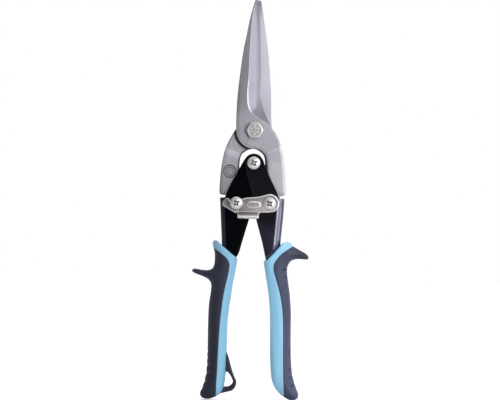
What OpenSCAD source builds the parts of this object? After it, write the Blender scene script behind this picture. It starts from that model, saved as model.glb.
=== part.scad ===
// Compound-action long-cut tin snips: two forged jaws, two folded steel handles,
// four pivots in a kite, a thumb latch, an opening spring and two-part grips.
// Every piece is modelled flat, with the main pivot at the origin, x to the right,
// y to the tips and z to the front face. place() then stands it up: tips along +z,
// front face toward -y, backmost plane at y = 0. Left and right are as seen from the front.

/* [Jaws] */
// Length of a jaw from the main pivot to its tip
jaw_len = 95; // [85:1:105]
// Thickness of each forged blade
blade_t = 6; // [5.4:0.1:6]
// Radius of the hub round the main pivot
hub_r = 13.2; // [12.5:0.1:13.4]
// Thickness left at the cutting edge of a jaw
edge_t = 1.6; // [1:0.1:2.5]
// Thickness of a jaw at its tip
tip_t = 3.6; // [2.8:0.1:5]

/* [Main pivot] */
// Size of the hex head across its flats
bolt_af = 11; // [10:0.5:13]
// Diameter of the bolt shank
bolt_d = 8; // [7:0.5:8]
// Size of the hex nut across its flats
nut_af = 13; // [12:0.5:14]
// Radial play of the rear blade on the bolt
open_play = 0.32; // [0.3:0.01:0.5]

/* [Linkage] */
// Distance from the main pivot down to the handle pivot
pivot_q = 23.6; // [23:0.1:24]
// Half the distance between the two tail pins
tail_x = 12; // [11.5:0.1:12.5]
// Distance from the main pivot down to the tail pins
tail_y = 52.8; // [52:0.1:53.5]
// Turn of the latch for each degree the handles open
latch_ratio = 1.5; // [1.3:0.05:1.8]
// Radial clearance of a turning pin
run_fit = 0.06; // [0.02:0.01:0.1]

/* [Handles] */
// Thickness of the folded handle sheet
sheet_t = 2; // [1.8:0.1:2]
// Radius of the boss round the handle pivot
boss_r = 6.4; // [6:0.1:6.6]
// Diameter of the screw heads
screw_head_d = 9.4; // [8.6:0.1:9.6]
// Thickness of the latch plate
latch_t = 1.4; // [1.2:0.1:1.4]

/* [Grips] */
// Depth of the grips from front to back
grip_depth = 22; // [20:0.5:22]
// Thickness of the lanyard loop
loop_t = 8; // [6:0.5:9]

/* [Spring] */
// Diameter of the spring wire
wire_d = 1.1; // [0.9:0.1:1.1]
// Mean radius of the coil
coil_r = 4.9; // [4.8:0.05:5.1]

/* [Hidden] */
$fn = 64;
half_depth = 11;    // from the shear plane (z = 0) back to the rest plane
gap = 0.03;         // half the gap on the shear plane
close_fit = 0.02;   // radial clearance of a fixed pin
grip_fit = 0.05;    // clearance round parts set in the grips

// pivots
main_pivot = [0, 0];
handle_pivot = [0, -pivot_q];
left_tail = [-tail_x, -tail_y];
right_tail = [tail_x, -tail_y];

// fasteners
handle_pin_r = 3;
left_pin_r = 2.6;
right_pin_r = 3;
neck_r = 3.2;       // left tail screw, where it passes the latch
thread_r = 1.5;
neck_z = 4.07;      // where that neck meets the thread
head_r = screw_head_d / 2;
tail_head_z = 8;    // seat of both tail screw heads
nut_z = -7.35;      // front face of the main nut

// blades
jaw_scale = jaw_len / 95;   // the jaw outlines are drawn for a length of 95
drop = 1.98;                // joggle of each tail toward the middle
joggle_y = -14;             // top of the joggle
joggle_end_y = -20;         // foot of the joggle
tail_end_y = -62;
tail_end_r = 7;
thin_y = 38 * jaw_scale;    // where a jaw starts to thin toward its tip

// handles, as heights in the right frame; the left frame is turned about
inner_flange_z = 4.05;              // outside of the inner flange, behind
step_z = 4.15;                      // inside of the outer flange, in front
frame_z = step_z + sheet_t;         // outside of the outer flange
head_z = frame_z + 0.05;            // seat of the heads on the flanges

// latch
latch_z = 6.5;      // back of the plate
opening = 9;        // angle the handles open
tab_bend = 34;      // forward bend of the thumb tab
oval_r = 2;
oval_len = 5;       // between the centres of the oval's ends

screw_color = [0.85, 0.84, 0.82];
sleeve_color = [0.8, 0.79, 0.78];
bolt_color = [0.62, 0.61, 0.63];
core_color = [0.42, 0.72, 0.88];
dark_color = [0.13, 0.14, 0.19];

// ---------- helpers ----------
module place() translate([0, -half_depth, 0]) rotate([90, 0, 0]) children();

// Catmull-Rom curve: the listed points with one more halfway along each span
function curve(points) = let (last = len(points) - 1) [
  for (i = [0 : last - 1])
    let (before = points[max(i - 1, 0)], after = points[min(i + 2, last)])
      each [points[i], (9 * (points[i] + points[i + 1]) - before - after) / 16],
  points[last]];
function reversed(points) = [for (i = [len(points) - 1 : -1 : 0]) points[i]];
function scale_jaw(points) = [for (p = points) [p.x, p.y * jaw_scale]];

// point turned clockwise about centre, seen from the front
function turned(point, centre, angle) = let (d = point - centre)
  centre + [d.x * cos(angle) + d.y * sin(angle), d.y * cos(angle) - d.x * sin(angle)];

module slab(z0, z1) translate([0, 0, z0]) linear_extrude(z1 - z0) children();
module pin(centre, radius, z0, z1)
  translate([centre.x, centre.y, z0]) cylinder(r = radius, h = z1 - z0);
// cutter right through any piece
module hole(centre, radius) pin(centre, radius, -12, 12);

// side profile (y, z) swept from x0 to x1
module side_slab(x0, x1, profile)
  rotate([90, 0, 90]) translate([0, 0, x0]) linear_extrude(x1 - x0) polygon(profile);

// cutter in front of a plane through start and end (x, y) at height z, the plane
// falling by an angle toward the right of the line from start to end
module bevel_cut(start, end, z, fall) let (along = end - start)
  translate([start.x, start.y, z]) rotate([0, 0, atan2(along.y, along.x) - 90])
    rotate([0, fall, 0]) translate([0, -60, 0]) cube([40, norm(along) + 120, 12]);

// ---------- blades ----------
// jaw outlines as [x, y]: spine from the tip down, edge from the hub up
front_spine = [[-0.9, 95.4], [-2.8, 90], [-5.2, 80], [-7, 70], [-8.9, 60], [-10.3, 50],
  [-11.4, 40], [-12.4, 30], [-13.1, 20], [-13.4, 10], [-13.2, 0]];
front_edge = [[11.9, 3], [10, 7], [7.5, 12], [5, 19], [3.3, 26], [3.8, 40], [3.5, 50],
  [3, 65], [2.2, 82], [1.5, 90], [0.4, 94.6]];
rear_spine = [[1.4, 94.6], [3.2, 90], [5.2, 80], [6.9, 70], [8.3, 60], [9.6, 50],
  [10.5, 40], [11.3, 30], [11.75, 20], [11.9, 10], [13.2, 0]];
rear_edge = [[-11.9, 3], [-10, 7], [-7.5, 12], [-5, 19], [-3.3, 26], [-3.6, 40],
  [-3.3, 50], [-2.8, 65], [-1.8, 82], [-0.8, 90], [0.2, 94]];

// tail outlines as [x, y], drawn on the right: outside from the shoulder down,
// inside from the tail end up
front_tail_out = [[12, 2.3], [15, -1.5], [17, -5], [18.6, -8.5], [20.2, -14], [21.2, -19],
  [22.1, -27], [22.8, -36], [23.2, -43], [23.1, -45.6], [22.3, -46.8], [19.6, -47.2]];
rear_tail_out = [[12.4, 2.3], [15, -1.5], [17, -5], [18.8, -8.5], [21, -14], [22.2, -19],
  [23.5, -27], [24.2, -36], [24.5, -43], [24.4, -45.6], [23.6, -46.8], [20.2, -47.2]];
tail_in = [[5.1, -50.6], [6.4, -44], [8.4, -35], [9.8, -27.5], [9.6, -21.4],
  [7.6, -17], [3.6, -14], [0, -12.6]];

// side profiles of the tails as [y, z], each joggled toward the middle
front_tail_side = [[4, gap], [joggle_y, gap], [joggle_end_y, gap - drop],
  [tail_end_y, gap - drop], [tail_end_y, blade_t - drop], [joggle_end_y, blade_t - drop],
  [joggle_y, blade_t], [4, blade_t]];
rear_tail_side = [[4, -blade_t], [joggle_y, -blade_t], [joggle_end_y, drop - blade_t],
  [tail_end_y, drop - blade_t], [tail_end_y, drop - gap], [-1.2, drop - gap],
  [-1.2, -gap], [4, -gap]];

function tail_outline(outside) = concat([[0, 0]], curve(outside),
  [for (i = [0 : 14]) let (a = -180 * i / 14) right_tail + tail_end_r * [cos(a), sin(a)]],
  curve(tail_in));

module jaw(spine, edge, z0, z1) {
  slab(z0, z1)
    polygon(concat(curve(scale_jaw(spine)), [[0, -2]], curve(scale_jaw(edge))));
  pin(main_pivot, hub_r, z0, z1);
}

// cuts in the outer face of a jaw, as they lie on the front blade
module jaw_cuts() {
  // hollow-ground face from the ridge down to the cutting edge
  intersection() {
    bevel_cut([-5.9, 27 * jaw_scale], [-2.6, 90 * jaw_scale], blade_t, 14);
    slab(0, 20) polygon(concat(
      scale_jaw([[-8, 96], [-6, 27], [-5.2, 19]]),
      [[-3, 13.2], [1, 12.6], [4, 15.5], [20, 15]],
      scale_jaw([[20, 110], [-8, 110]])));
  }
  // narrow relief beside the cutting edge
  intersection() {
    bevel_cut([-0.1, 24 * jaw_scale], [-0.4, 90 * jaw_scale], edge_t + 3, 38);
    slab(0, 20) polygon(scale_jaw([[-4, 24], [9, 21], [20, 21], [20, 110], [-4, 110]]));
  }
  // thinning toward the tip
  translate([-30, thin_y, blade_t])
    rotate([-atan((blade_t - tip_t) / (jaw_len - thin_y)), 0, 0]) cube([60, 80, 10]);
}

// jaw on the left, tail on the right
module front_blade() color([0.52, 0.52, 0.55]) place() difference() {
  union() {
    jaw(front_spine, front_edge, gap, blade_t);
    intersection() {
      slab(-10, 10) polygon(tail_outline(front_tail_out));
      side_slab(-2, 40, front_tail_side);
    }
  }
  jaw_cuts();
  hole(main_pivot, bolt_d / 2 + close_fit);
  hole(right_tail, right_pin_r + run_fit);
}

// jaw on the right, tail on the left
module rear_blade() color([0.72, 0.72, 0.77]) place() difference() {
  union() {
    jaw(rear_spine, rear_edge, -blade_t, -gap);
    intersection() {
      slab(-10, 10) polygon([for (p = tail_outline(rear_tail_out)) [-p.x, p.y]]);
      side_slab(-40, 4, rear_tail_side);
    }
  }
  // seat swept by the hub and the shoulder of the front blade
  pin(main_pivot, hub_r + 1.7, -gap, 4);
  rotate([0, 180, 0]) jaw_cuts();
  // plain round recess in the front of the tail
  pin([-17.3, -30], 4.6, drop - 0.35, 6);
  hole(main_pivot, bolt_d / 2 + open_play);
  hole(left_tail, left_pin_r + run_fit);
}

// ---------- main pivot ----------
// hex prism with its far end chamfered
module hex(across_flats, height) let (corner_r = across_flats / sqrt(3)) intersection() {
  cylinder(r = corner_r, h = height, $fn = 6);
  rotate_extrude() polygon([[0, 0], [corner_r, 0], [corner_r, height - 1],
    [across_flats / 2 - 0.7, height], [0, height]]);
}

module pivot_bolt() color(bolt_color) place() {
  translate([0, 0, blade_t]) hex(bolt_af, 5);
  pin(main_pivot, bolt_d / 2, -half_depth, blade_t);
}
module pivot_washer() color([0.75, 0.75, 0.77]) place() difference() {
  pin(main_pivot, 8.4, -7.3, -6.1);
  hole(main_pivot, bolt_d / 2 + close_fit);
}
module pivot_nut() color(bolt_color) place() difference() {
  translate([0, 0, nut_z]) mirror([0, 0, 1]) hex(nut_af, half_depth + nut_z);
  hole(main_pivot, bolt_d / 2 + close_fit);
}

// ---------- handle frames ----------
// outlines as [x, y], drawn on the right: inside edges run down from the handle
// pivot, outside edges run up to the tail pin, top edges run back to the pivot.
// The outer flange is wide across the boss, the inner flange and web are slim.
arm_wide = [[-6.2, -25.2], [-4.9, -32.5], [-1.6, -44], [1, -55], [2.5, -64], [5, -73],
  [7.5, -82], [9.8, -93], [12, -104], [15.4, -120], [17.4, -140], [18.2, -160], [18.6, -178]];
arm_slim = [[-6.2, -25.2], [-3.4, -33], [0.4, -45], [3, -56], [4.3, -64], [7, -75], [9, -84],
  [11.3, -92.5], [13, -104], [16.4, -120], [18.4, -140], [19.2, -160], [19.6, -178]];
right_arm_out = [[26.4, -178], [26.3, -160], [25.8, -140], [24.3, -120], [22.4, -105],
  [21, -94], [20.5, -84], [21.5, -70], [22.3, -60], [22.8, -50.2], [22.2, -49.1]];
right_arm_top = [[18.9, -49], [16, -42], [12.5, -35], [8.3, -25.5]];
left_arm_out = [[27.4, -178], [27.3, -160], [26.8, -140], [25.3, -120], [23.4, -105],
  [22.4, -94], [21.9, -84], [22.7, -70], [23.3, -60], [24, -50.2], [23.4, -49.1]];
left_arm_top = [[20.5, -49], [17, -40.5], [13, -33], [9.5, -27.4], [6.2, -22.4]];

module arm(inside, outside, top, z0, z1) slab(z0, z1) {
  polygon(concat(curve(inside), curve(outside), curve(top)));
  translate(handle_pivot) circle(r = boss_r);
}

// space between the flanges, bounded by the inside of the web
module hollow(outside, z0, z1) slab(z0, z1) polygon(concat(
  [outside[0] - [sheet_t, 5]],
  [for (p = curve(outside)) if (p.y < -50) p - [sheet_t, 0]],
  [[outside[9].x - sheet_t, -45], [26, -45], [26, -10], [-20, -10], [-20, -190]]));

// right-hand frame, its wide flange in front
module folded_frame(outside, top, pivot_hole_r, tail_hole_r) difference() {
  union() {
    arm(arm_wide, outside, top, step_z, frame_z);
    arm(arm_slim, outside, top, -inner_flange_z, step_z);
  }
  hollow(outside, sheet_t - inner_flange_z, step_z);
  hole(handle_pivot, pivot_hole_r);
  hole(right_tail, tail_hole_r);
}

module right_handle_frame() color([0.06, 0.06, 0.08]) place()
  folded_frame(right_arm_out, right_arm_top,
    handle_pin_r + close_fit, right_pin_r + close_fit);
// turned about, so its wide flange lies behind
module left_handle_frame() color([0.05, 0.05, 0.07]) place() rotate([0, 180, 0])
  folded_frame(left_arm_out, left_arm_top,
    handle_pin_r + run_fit, left_pin_r + close_fit);

// ---------- handle and tail fasteners ----------
// round head with a broken lower edge and a rounded upper one
module pan(radius, height) rotate_extrude() polygon(concat(
  [[0, 0], [radius - 0.25, 0], [radius, 0.25]],
  [for (a = [0 : 15 : 75]) [radius - 1.3 + 1.3 * cos(a), height - 1.2 + 1.2 * sin(a)]],
  [[0, height]]));

// front head with a cross recess
module screw_head(centre, radius, z, height = 2.2)
  translate([centre.x, centre.y, z]) difference() {
    pan(radius, height);
    for (a = [0, 90]) rotate([0, 0, a]) translate([-2.2, -0.5, height - 1.3]) cube([4.4, 1, 2]);
  }

// sleeve from a plain head at seat_z forward to end_z, bored from bore_z
module sleeve_nut(centre, head_radius, radius, seat_z, end_z, bore_z) difference() {
  union() {
    translate([centre.x, centre.y, seat_z]) mirror([0, 0, 1]) pan(head_radius, 2.1);
    pin(centre, radius, seat_z, end_z);
  }
  pin(centre, thread_r + close_fit, bore_z, end_z + 1);
}

module handle_pivot_screw() color(screw_color) place() {
  screw_head(handle_pivot, head_r + 0.1, head_z);
  pin(handle_pivot, thread_r, -3, head_z);
}
module handle_pivot_sleeve_nut() color(sleeve_color) place()
  sleeve_nut(handle_pivot, head_r + 0.1, handle_pin_r,
    seat_z = -head_z, end_z = frame_z, bore_z = -5);

module left_tail_screw() color(screw_color) place() {
  screw_head(left_tail, head_r, tail_head_z);
  pin(left_tail, neck_r, neck_z, tail_head_z);
  pin(left_tail, thread_r, -3, neck_z);
}
module left_tail_sleeve_nut() color(sleeve_color) place()
  sleeve_nut(left_tail, head_r, left_pin_r, seat_z = -head_z, end_z = 4, bore_z = -5);

module right_tail_screw() color(screw_color) place() {
  screw_head(right_tail, head_r - 0.1, tail_head_z);
  pin(right_tail, thread_r, -2, tail_head_z);
}
module right_tail_sleeve_nut() color(sleeve_color) place()
  sleeve_nut(right_tail, head_r - 0.1, right_pin_r,
    seat_z = -4.1, end_z = 7.95, bore_z = -3.5);

// ---------- opening spring ----------
module spring_bush() color([0.72, 0.6, 0.36]) place() difference() {
  pin(handle_pivot, 3.95, -1.98, 1.98);
  hole(handle_pivot, handle_pin_r + close_fit);
}

turns = 2.5;
coil_steps = 50;
leg_steps = 4;
wire_sides = 8;
leg_x = 6.3;            // half the spread of the leg ends
leg_drop = 17;          // from the coil centre down to the leg ends
rise = 4 - wire_d;      // from back to front of the coil, centre to centre

// wire centre line: up the right leg, round the coil, down the left leg
// place on the right leg, t from 0 at its end to 1 at the coil
function leg(t) = [leg_x - (leg_x - coil_r) * t, handle_pivot.y - leg_drop * (1 - t)];
wire = concat(
  [for (i = [0 : leg_steps - 1]) let (p = leg(i / leg_steps)) [p.x, p.y, -rise / 2]],
  [for (i = [0 : coil_steps]) let (a = 360 * turns * i / coil_steps)
    [coil_r * cos(a), handle_pivot.y + coil_r * sin(a), -rise / 2 + rise * i / coil_steps]],
  [for (i = [1 : leg_steps]) let (p = leg(1 - i / leg_steps)) [-p.x, p.y, rise / 2]]);

function unit(v) = v / norm(v);
function tangent(i) = unit(wire[min(i + 1, len(wire) - 1)] - wire[max(i - 1, 0)]);
// ring of points round the wire at station i
function ring(i) = let (t = tangent(i), u = unit(cross(t, [0, 0, 1])), v = cross(t, u))
  [for (j = [0 : wire_sides - 1]) let (a = 360 * j / wire_sides)
    wire[i] + wire_d / 2 * (u * cos(a) + v * sin(a))];

module opening_spring() color([0.7, 0.7, 0.72]) place()
  let (last = len(wire) - 1, sides = wire_sides)
    polyhedron([for (i = [0 : last]) each ring(i)], concat(
      [[for (j = [sides - 1 : -1 : 0]) j]],
      [[for (j = [0 : sides - 1]) last * sides + j]],
      [for (i = [0 : last - 1], j = [0 : sides - 1]) let (next = (j + 1) % sides)
        [i * sides + j, i * sides + next, (i + 1) * sides + next, (i + 1) * sides + j]]));

// ---------- latch ----------
// closed outline as [x, y], from the left end round by the top
latch_edge = [[-22.3, -54], [-20.7, -50.8], [-18.6, -49], [-16, -49.4], [-12, -50.2],
  [-8, -49.8], [-4, -48.7], [2, -48.2], [6, -47.4], [10, -46.2], [13, -45.8], [16, -47],
  [18.3, -49.8], [19, -53], [18.3, -56], [16, -58.3], [12, -59.2], [5, -59.5], [-4, -59.6],
  [-12, -59.4], [-17.5, -57.6], [-21.4, -55.6], [-22.3, -54]];

module latch_plate() color([0.68, 0.65, 0.64]) place() difference() {
  union() {
    slab(latch_z, latch_z + latch_t) polygon(curve(latch_edge));
    // thumb tab bent forward
    translate([-11.5, -58.6, latch_z]) rotate([-tab_bend, 0, 0]) mirror([0, 1, 0])
      cube([15.8, 5.6, latch_t]);
    // plain raised oval
    slab(latch_z + latch_t, latch_z + latch_t + 0.3) translate([-1.9, -53.7]) {
      circle(r = oval_r);
      translate([oval_len, 0]) circle(r = oval_r);
      translate([0, -oval_r]) square([oval_len, 2 * oval_r]);
    }
  }
  // open notch swept by the neck of the left tail screw as the handles open
  for (a = [0 : 0.75 : opening])
    hole(turned(turned(left_tail, handle_pivot, a), right_tail, latch_ratio * a),
      neck_r + 0.25);
  hole(right_tail, right_pin_r + run_fit);
}
module latch_friction_washer() color([0.75, 0.72, 0.6]) place() difference() {
  pin(right_tail, 5.4, 6.16, 6.46);
  hole(right_tail, right_pin_r + close_fit);
}

// ---------- grips ----------
// outlines as [x, y]: the seam between core and overmould runs down, the core is
// closed by its collar and inner side, the overmould by its outer side going up
left_seam = [[-28, -85.2], [-22, -89.5], [-18, -93], [-16.1, -96.6], [-16.2, -100],
  [-17, -105], [-18.5, -112], [-20, -120], [-21.2, -130], [-22.4, -143], [-23.2, -158],
  [-23.8, -175], [-24.2, -188], [-24.2, -193.2]];
left_collar = [[-28, -85.2], [-28.6, -82], [-27.4, -80.2], [-25.5, -80.5], [-22, -83.5],
  [-16, -88.5], [-11, -92.6]];
left_inner = [[-10.3, -94], [-11.5, -100], [-13.5, -110], [-14.8, -120], [-16, -130],
  [-16.8, -142], [-17, -158], [-17.3, -175], [-18.3, -185], [-20.4, -190.4], [-24.2, -193.2]];
left_outer = [[-24.2, -193.2], [-28, -194.8], [-31.4, -195.2], [-34.2, -193.8], [-35.1, -191],
  [-33, -185], [-31.2, -177], [-30.5, -165], [-30.4, -145], [-30.1, -128], [-28.9, -117],
  [-29.1, -111.6], [-31.6, -108.2], [-36, -106.1], [-41, -104.3], [-43.2, -102.6],
  [-41.4, -101], [-36, -101.7], [-31, -101.8], [-28, -100], [-26.9, -96], [-26.9, -90],
  [-28, -85.2]];
right_seam = [[29.5, -83.2], [22, -88.5], [18, -93], [15.9, -97], [16, -101.5],
  [18, -108], [19.8, -114], [21.5, -121], [22.9, -130], [23.8, -144], [24.3, -160],
  [24.6, -176], [25.2, -190], [25.3, -192.6]];
right_collar = [[29.5, -83.2], [28.4, -81.4], [26, -80.4], [23.5, -80.7], [21, -82.5],
  [18, -86], [14, -90.5], [10.5, -94]];
right_inner = [[8.7, -94], [9.2, -98], [10.5, -104], [12, -112], [13.3, -120], [14.2, -130],
  [14.9, -145], [15.1, -160], [15.8, -174], [17, -181], [19, -186], [22, -190],
  [25.3, -192.6]];
right_outer = [[25.3, -192.6], [29, -194.3], [32, -194.7], [34.8, -193.6], [35.9, -190.6],
  [33.6, -184.6], [31, -176], [29.6, -163], [29, -145], [28.8, -131], [27.6, -118],
  [26.5, -111], [25.4, -103.5], [25.6, -98.4], [28, -94.5], [31.4, -92.8], [36, -92.5],
  [40.2, -92.7], [41.2, -91], [39.4, -88.7], [34.6, -86], [29.5, -83.2]];

// socket for the lower part of a frame, drawn on the right
module socket_layer(inside, outside, z0, z1) slab(z0, z1) polygon(concat(
  [for (p = curve(inside)) if (p.y < -60) p - [grip_fit, 0]],
  [for (p = curve(outside)) if (p.y < -60) p + [grip_fit, 0]]));
module socket(outside) {
  socket_layer(arm_slim, outside, -inner_flange_z - grip_fit, step_z + grip_fit);
  socket_layer(arm_wide, outside, step_z - grip_fit, frame_z + grip_fit);
}
module left_socket() rotate([0, 180, 0]) socket(left_arm_out);
module right_socket() socket(right_arm_out);

module core(collar, inner, seam) slab(-grip_depth / 2, grip_depth / 2)
  polygon(concat(curve(collar), curve(inner), reversed(curve(seam))));
module overmould(seam, outer) slab(-grip_depth / 2, grip_depth / 2)
  polygon(concat(curve(seam), curve(outer)));

module left_grip_core() color(core_color) place() difference() {
  core(left_collar, left_inner, left_seam);
  left_socket();
  // slot for the lanyard loop
  slab(-loop_t / 2 - grip_fit, loop_t / 2 + grip_fit)
    polygon([[-30, -162], [-12, -158], [-8, -196], [-30, -196]]);
}
module left_grip_overmould() color(dark_color) place() difference() {
  overmould(left_seam, left_outer);
  left_socket();
}
module right_grip_core() color(core_color) place() difference() {
  core(right_collar, right_inner, right_seam);
  right_socket();
}
module right_grip_overmould() color([0.16, 0.17, 0.22]) place() difference() {
  overmould(right_seam, right_outer);
  right_socket();
}

// eye for a wrist cord, in the slot of the left core; outlines as [x, y]
loop_out = [[-16.8, -162.5], [-15, -168], [-13, -174], [-11, -179], [-9.3, -182.5],
  [-9.2, -185], [-10.5, -188], [-12.8, -189.4], [-17, -190.3], [-20.2, -190.6]];
loop_eye = [[-17.2, -175.6], [-15.2, -175.9], [-13.8, -178.4], [-12.1, -182],
  [-12.3, -184.2], [-13.6, -185.9], [-15.6, -186.3], [-17.4, -185.6], [-17.6, -180],
  [-17.2, -175.6]];
module lanyard_loop() color(dark_color) place() difference() {
  slab(-loop_t / 2, loop_t / 2)
    polygon(concat(curve(loop_out), [[-19, -178], [-18.2, -164]]));
  slab(-9, 9) polygon(curve(loop_eye));
}

front_blade();
rear_blade();
pivot_bolt();
pivot_washer();
pivot_nut();
left_handle_frame();
right_handle_frame();
handle_pivot_screw();
handle_pivot_sleeve_nut();
spring_bush();
opening_spring();
left_tail_screw();
left_tail_sleeve_nut();
right_tail_screw();
right_tail_sleeve_nut();
latch_plate();
latch_friction_washer();
left_grip_core();
left_grip_overmould();
right_grip_core();
right_grip_overmould();
lanyard_loop();
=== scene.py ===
"""Compound-action hand shears: two forged blades, two folded steel handles with moulded grips,
a latch plate, screws, a hexagonal pivot bolt and an opening spring.

Pieces are drawn in local millimetres: x to the right, y toward the tips, z toward the front,
with the blade pivot at the origin. In the world the tips point up (+Z), the front faces -Y.
"""

import math

import bmesh
import bpy
import numpy as np
from mathutils import Matrix, Vector, geometry


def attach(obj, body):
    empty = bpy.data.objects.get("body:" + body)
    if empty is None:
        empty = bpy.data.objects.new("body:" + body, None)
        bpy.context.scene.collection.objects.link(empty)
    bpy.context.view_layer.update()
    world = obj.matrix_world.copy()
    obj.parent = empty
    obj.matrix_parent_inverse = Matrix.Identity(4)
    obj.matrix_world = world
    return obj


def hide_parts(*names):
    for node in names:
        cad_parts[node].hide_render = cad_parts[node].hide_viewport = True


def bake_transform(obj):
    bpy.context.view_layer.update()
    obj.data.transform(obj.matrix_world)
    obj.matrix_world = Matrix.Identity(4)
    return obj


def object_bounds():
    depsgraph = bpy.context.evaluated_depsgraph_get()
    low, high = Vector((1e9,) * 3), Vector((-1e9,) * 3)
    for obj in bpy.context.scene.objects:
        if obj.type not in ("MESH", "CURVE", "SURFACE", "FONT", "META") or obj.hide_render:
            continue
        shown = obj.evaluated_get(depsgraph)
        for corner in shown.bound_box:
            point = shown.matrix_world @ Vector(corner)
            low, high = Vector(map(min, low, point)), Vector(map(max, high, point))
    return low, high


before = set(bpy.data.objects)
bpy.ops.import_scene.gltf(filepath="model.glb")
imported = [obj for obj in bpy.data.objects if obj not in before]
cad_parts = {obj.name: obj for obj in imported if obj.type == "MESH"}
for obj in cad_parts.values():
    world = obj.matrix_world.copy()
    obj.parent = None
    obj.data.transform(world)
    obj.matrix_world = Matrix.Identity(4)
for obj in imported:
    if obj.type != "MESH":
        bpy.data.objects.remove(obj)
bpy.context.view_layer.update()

MM = 0.001
BACK = 11.0  # depth of the rearmost point behind the blade plane, which lies on world Y = 0

# Driving places (x, y)
BLADE_PIVOT = (0.0, 0.0)
HANDLE_PIVOT = (0.0, -23.6)
LEFT_TAIL = (-12.0, -52.8)
RIGHT_TAIL = (12.0, -52.8)


# ------------------------------------------------------------------ lines and fields
def floats(values):
    return np.asarray(values, float)


def smooth(t):
    t = np.clip(t, 0, 1)
    return t * t * (3 - 2 * t)


def rise(value, start, length):
    """0 to 1 as the value climbs from start over length"""
    return smooth((value - start) / length)


def fall(value, start, length):
    """0 to 1 as the value sinks from start over length"""
    return smooth((start - value) / length)


def bell(value, centre, width):
    return np.exp(-((value - centre) / width) ** 2)


def round_drop(depth, radius):
    """drop of a rounded edge at a depth in from it"""
    depth = np.clip(depth, 0, radius)
    return radius - np.sqrt(np.maximum(radius * radius - (radius - depth) ** 2, 0))


def spline(points, steps=8, closed=False):
    """Catmull-Rom curve through the points"""
    points = floats(points)
    count = len(points)
    curve = []
    for i in range(count if closed else count - 1):
        if closed:
            picks = (i - 1, i, (i + 1) % count, (i + 2) % count)
        else:
            picks = (max(i - 1, 0), i, i + 1, min(i + 2, count - 1))
        a, b, c, d = (points[k] for k in picks)
        for j in range(steps):
            t = j / steps
            curve.append(0.5 * (2 * b + (c - a) * t + (2 * a - 5 * b + 4 * c - d) * t * t
                                + (3 * b - a - 3 * c + d) * t ** 3))
    if not closed:
        curve.append(points[-1])
    return floats(curve)


def close(line):
    return np.vstack([line, line[:1]])


def resample(points, step, closed=False):
    points = floats(points)
    line = close(points) if closed else points
    lengths = np.linalg.norm(np.diff(line, axis=0), axis=1)
    along = np.concatenate([[0], np.cumsum(lengths)])
    count = max(2, int(round(along[-1] / step)))
    t = np.linspace(0, along[-1], count + 1)
    even = np.stack([np.interp(t, along, line[:, 0]), np.interp(t, along, line[:, 1])], 1)
    return even[:-1] if closed else even


def arc(centre, radius, start, end, count):
    t = np.radians(np.linspace(start, end, count))
    return np.stack([centre[0] + radius * np.cos(t), centre[1] + radius * np.sin(t)], 1)


def circle(centre, radius, sides):
    return arc(centre, radius, 0, 360, sides + 1)[:-1]


def hexagon(centre, radius):
    return floats([(centre[0] + radius * math.cos(math.radians(angle)),
                    centre[1] + radius * math.sin(math.radians(angle)))
                   for angle in range(0, 360, 60)])


def signed_area(line):
    """twice the area, positive when the line runs anticlockwise"""
    return np.sum(line[:, 0] * np.roll(line[:, 1], -1) - np.roll(line[:, 0], -1) * line[:, 1])


def join(*parts):
    """parts end to end, without doubled points"""
    line = []
    for part in parts:
        for point in floats(part):
            if not line or np.hypot(*(point - line[-1])) > 0.02:
                line.append(point)
    if np.hypot(*(line[0] - line[-1])) < 0.02:
        line.pop()
    return floats(line)


def loop(*parts, step=0.6):
    """one closed anticlockwise outline, corners between the parts kept"""
    line = join(*[resample(part, step) for part in parts])
    return line if signed_area(line) > 0 else line[::-1]


def normals(tangents):
    """unit normals on the left of the tangents"""
    tangents = tangents / np.linalg.norm(tangents, axis=1)[:, None]
    return np.stack([-tangents[:, 1], tangents[:, 0]], 1)


def loop_normals(line):
    return normals(np.roll(line, -1, 0) - np.roll(line, 1, 0))


def offsets(line, *distances):
    """copies of an open line shifted to its left"""
    line = floats(line)
    left = normals(np.gradient(line, axis=0))
    return [line + left * distance for distance in distances]


def measure(points, line, closed=False):
    """distance from each point to a line, and its side of it (+1 on the left)"""
    points, starts = floats(points), floats(line)
    ends = np.roll(starts, -1, 0) if closed else starts[1:]
    if not closed:
        starts = starts[:-1]
    spans = ends - starts
    squares = np.maximum((spans ** 2).sum(1), 1e-12)
    nearest = np.full(len(points), 1e9)
    side = np.ones(len(points))
    for k in range(0, len(points), 4000):
        reach = points[k:k + 4000][:, None] - starts[None]
        t = np.clip((reach * spans).sum(2) / squares, 0, 1)
        gaps = ((reach - t[..., None] * spans) ** 2).sum(2)
        best = gaps.argmin(1)
        row = np.arange(len(reach))
        nearest[k:k + 4000] = np.sqrt(gaps[row, best])
        side[k:k + 4000] = np.sign(spans[best, 0] * reach[row, best, 1]
                                   - spans[best, 1] * reach[row, best, 0] + 1e-12)
    return nearest, side


def gap(points, line, closed=False):
    return measure(points, line, closed)[0]


def inside(points, outline):
    x, y = floats(points).T
    outline = floats(outline)
    within = np.zeros(len(x), bool)
    for (x0, y0), (x1, y1) in zip(outline, np.roll(outline, -1, 0)):
        if y0 == y1:
            continue
        crossed = (y0 > y) != (y1 > y)
        within ^= crossed & (x < (x1 - x0) * (y - y0) / (y1 - y0) + x0)
    return within


def runs(points, good):
    """the unbroken stretches of a line whose points are good"""
    found = [[]]
    for point, fine in zip(points, good):
        if fine:
            found[-1].append(point)
        elif found[-1]:
            found.append([])
    return [run for run in found if run]


# ------------------------------------------------------------------ meshes
def to_world(points):
    return np.stack([points[:, 0], -(points[:, 2] + BACK), points[:, 1]], 1) * MM


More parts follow.
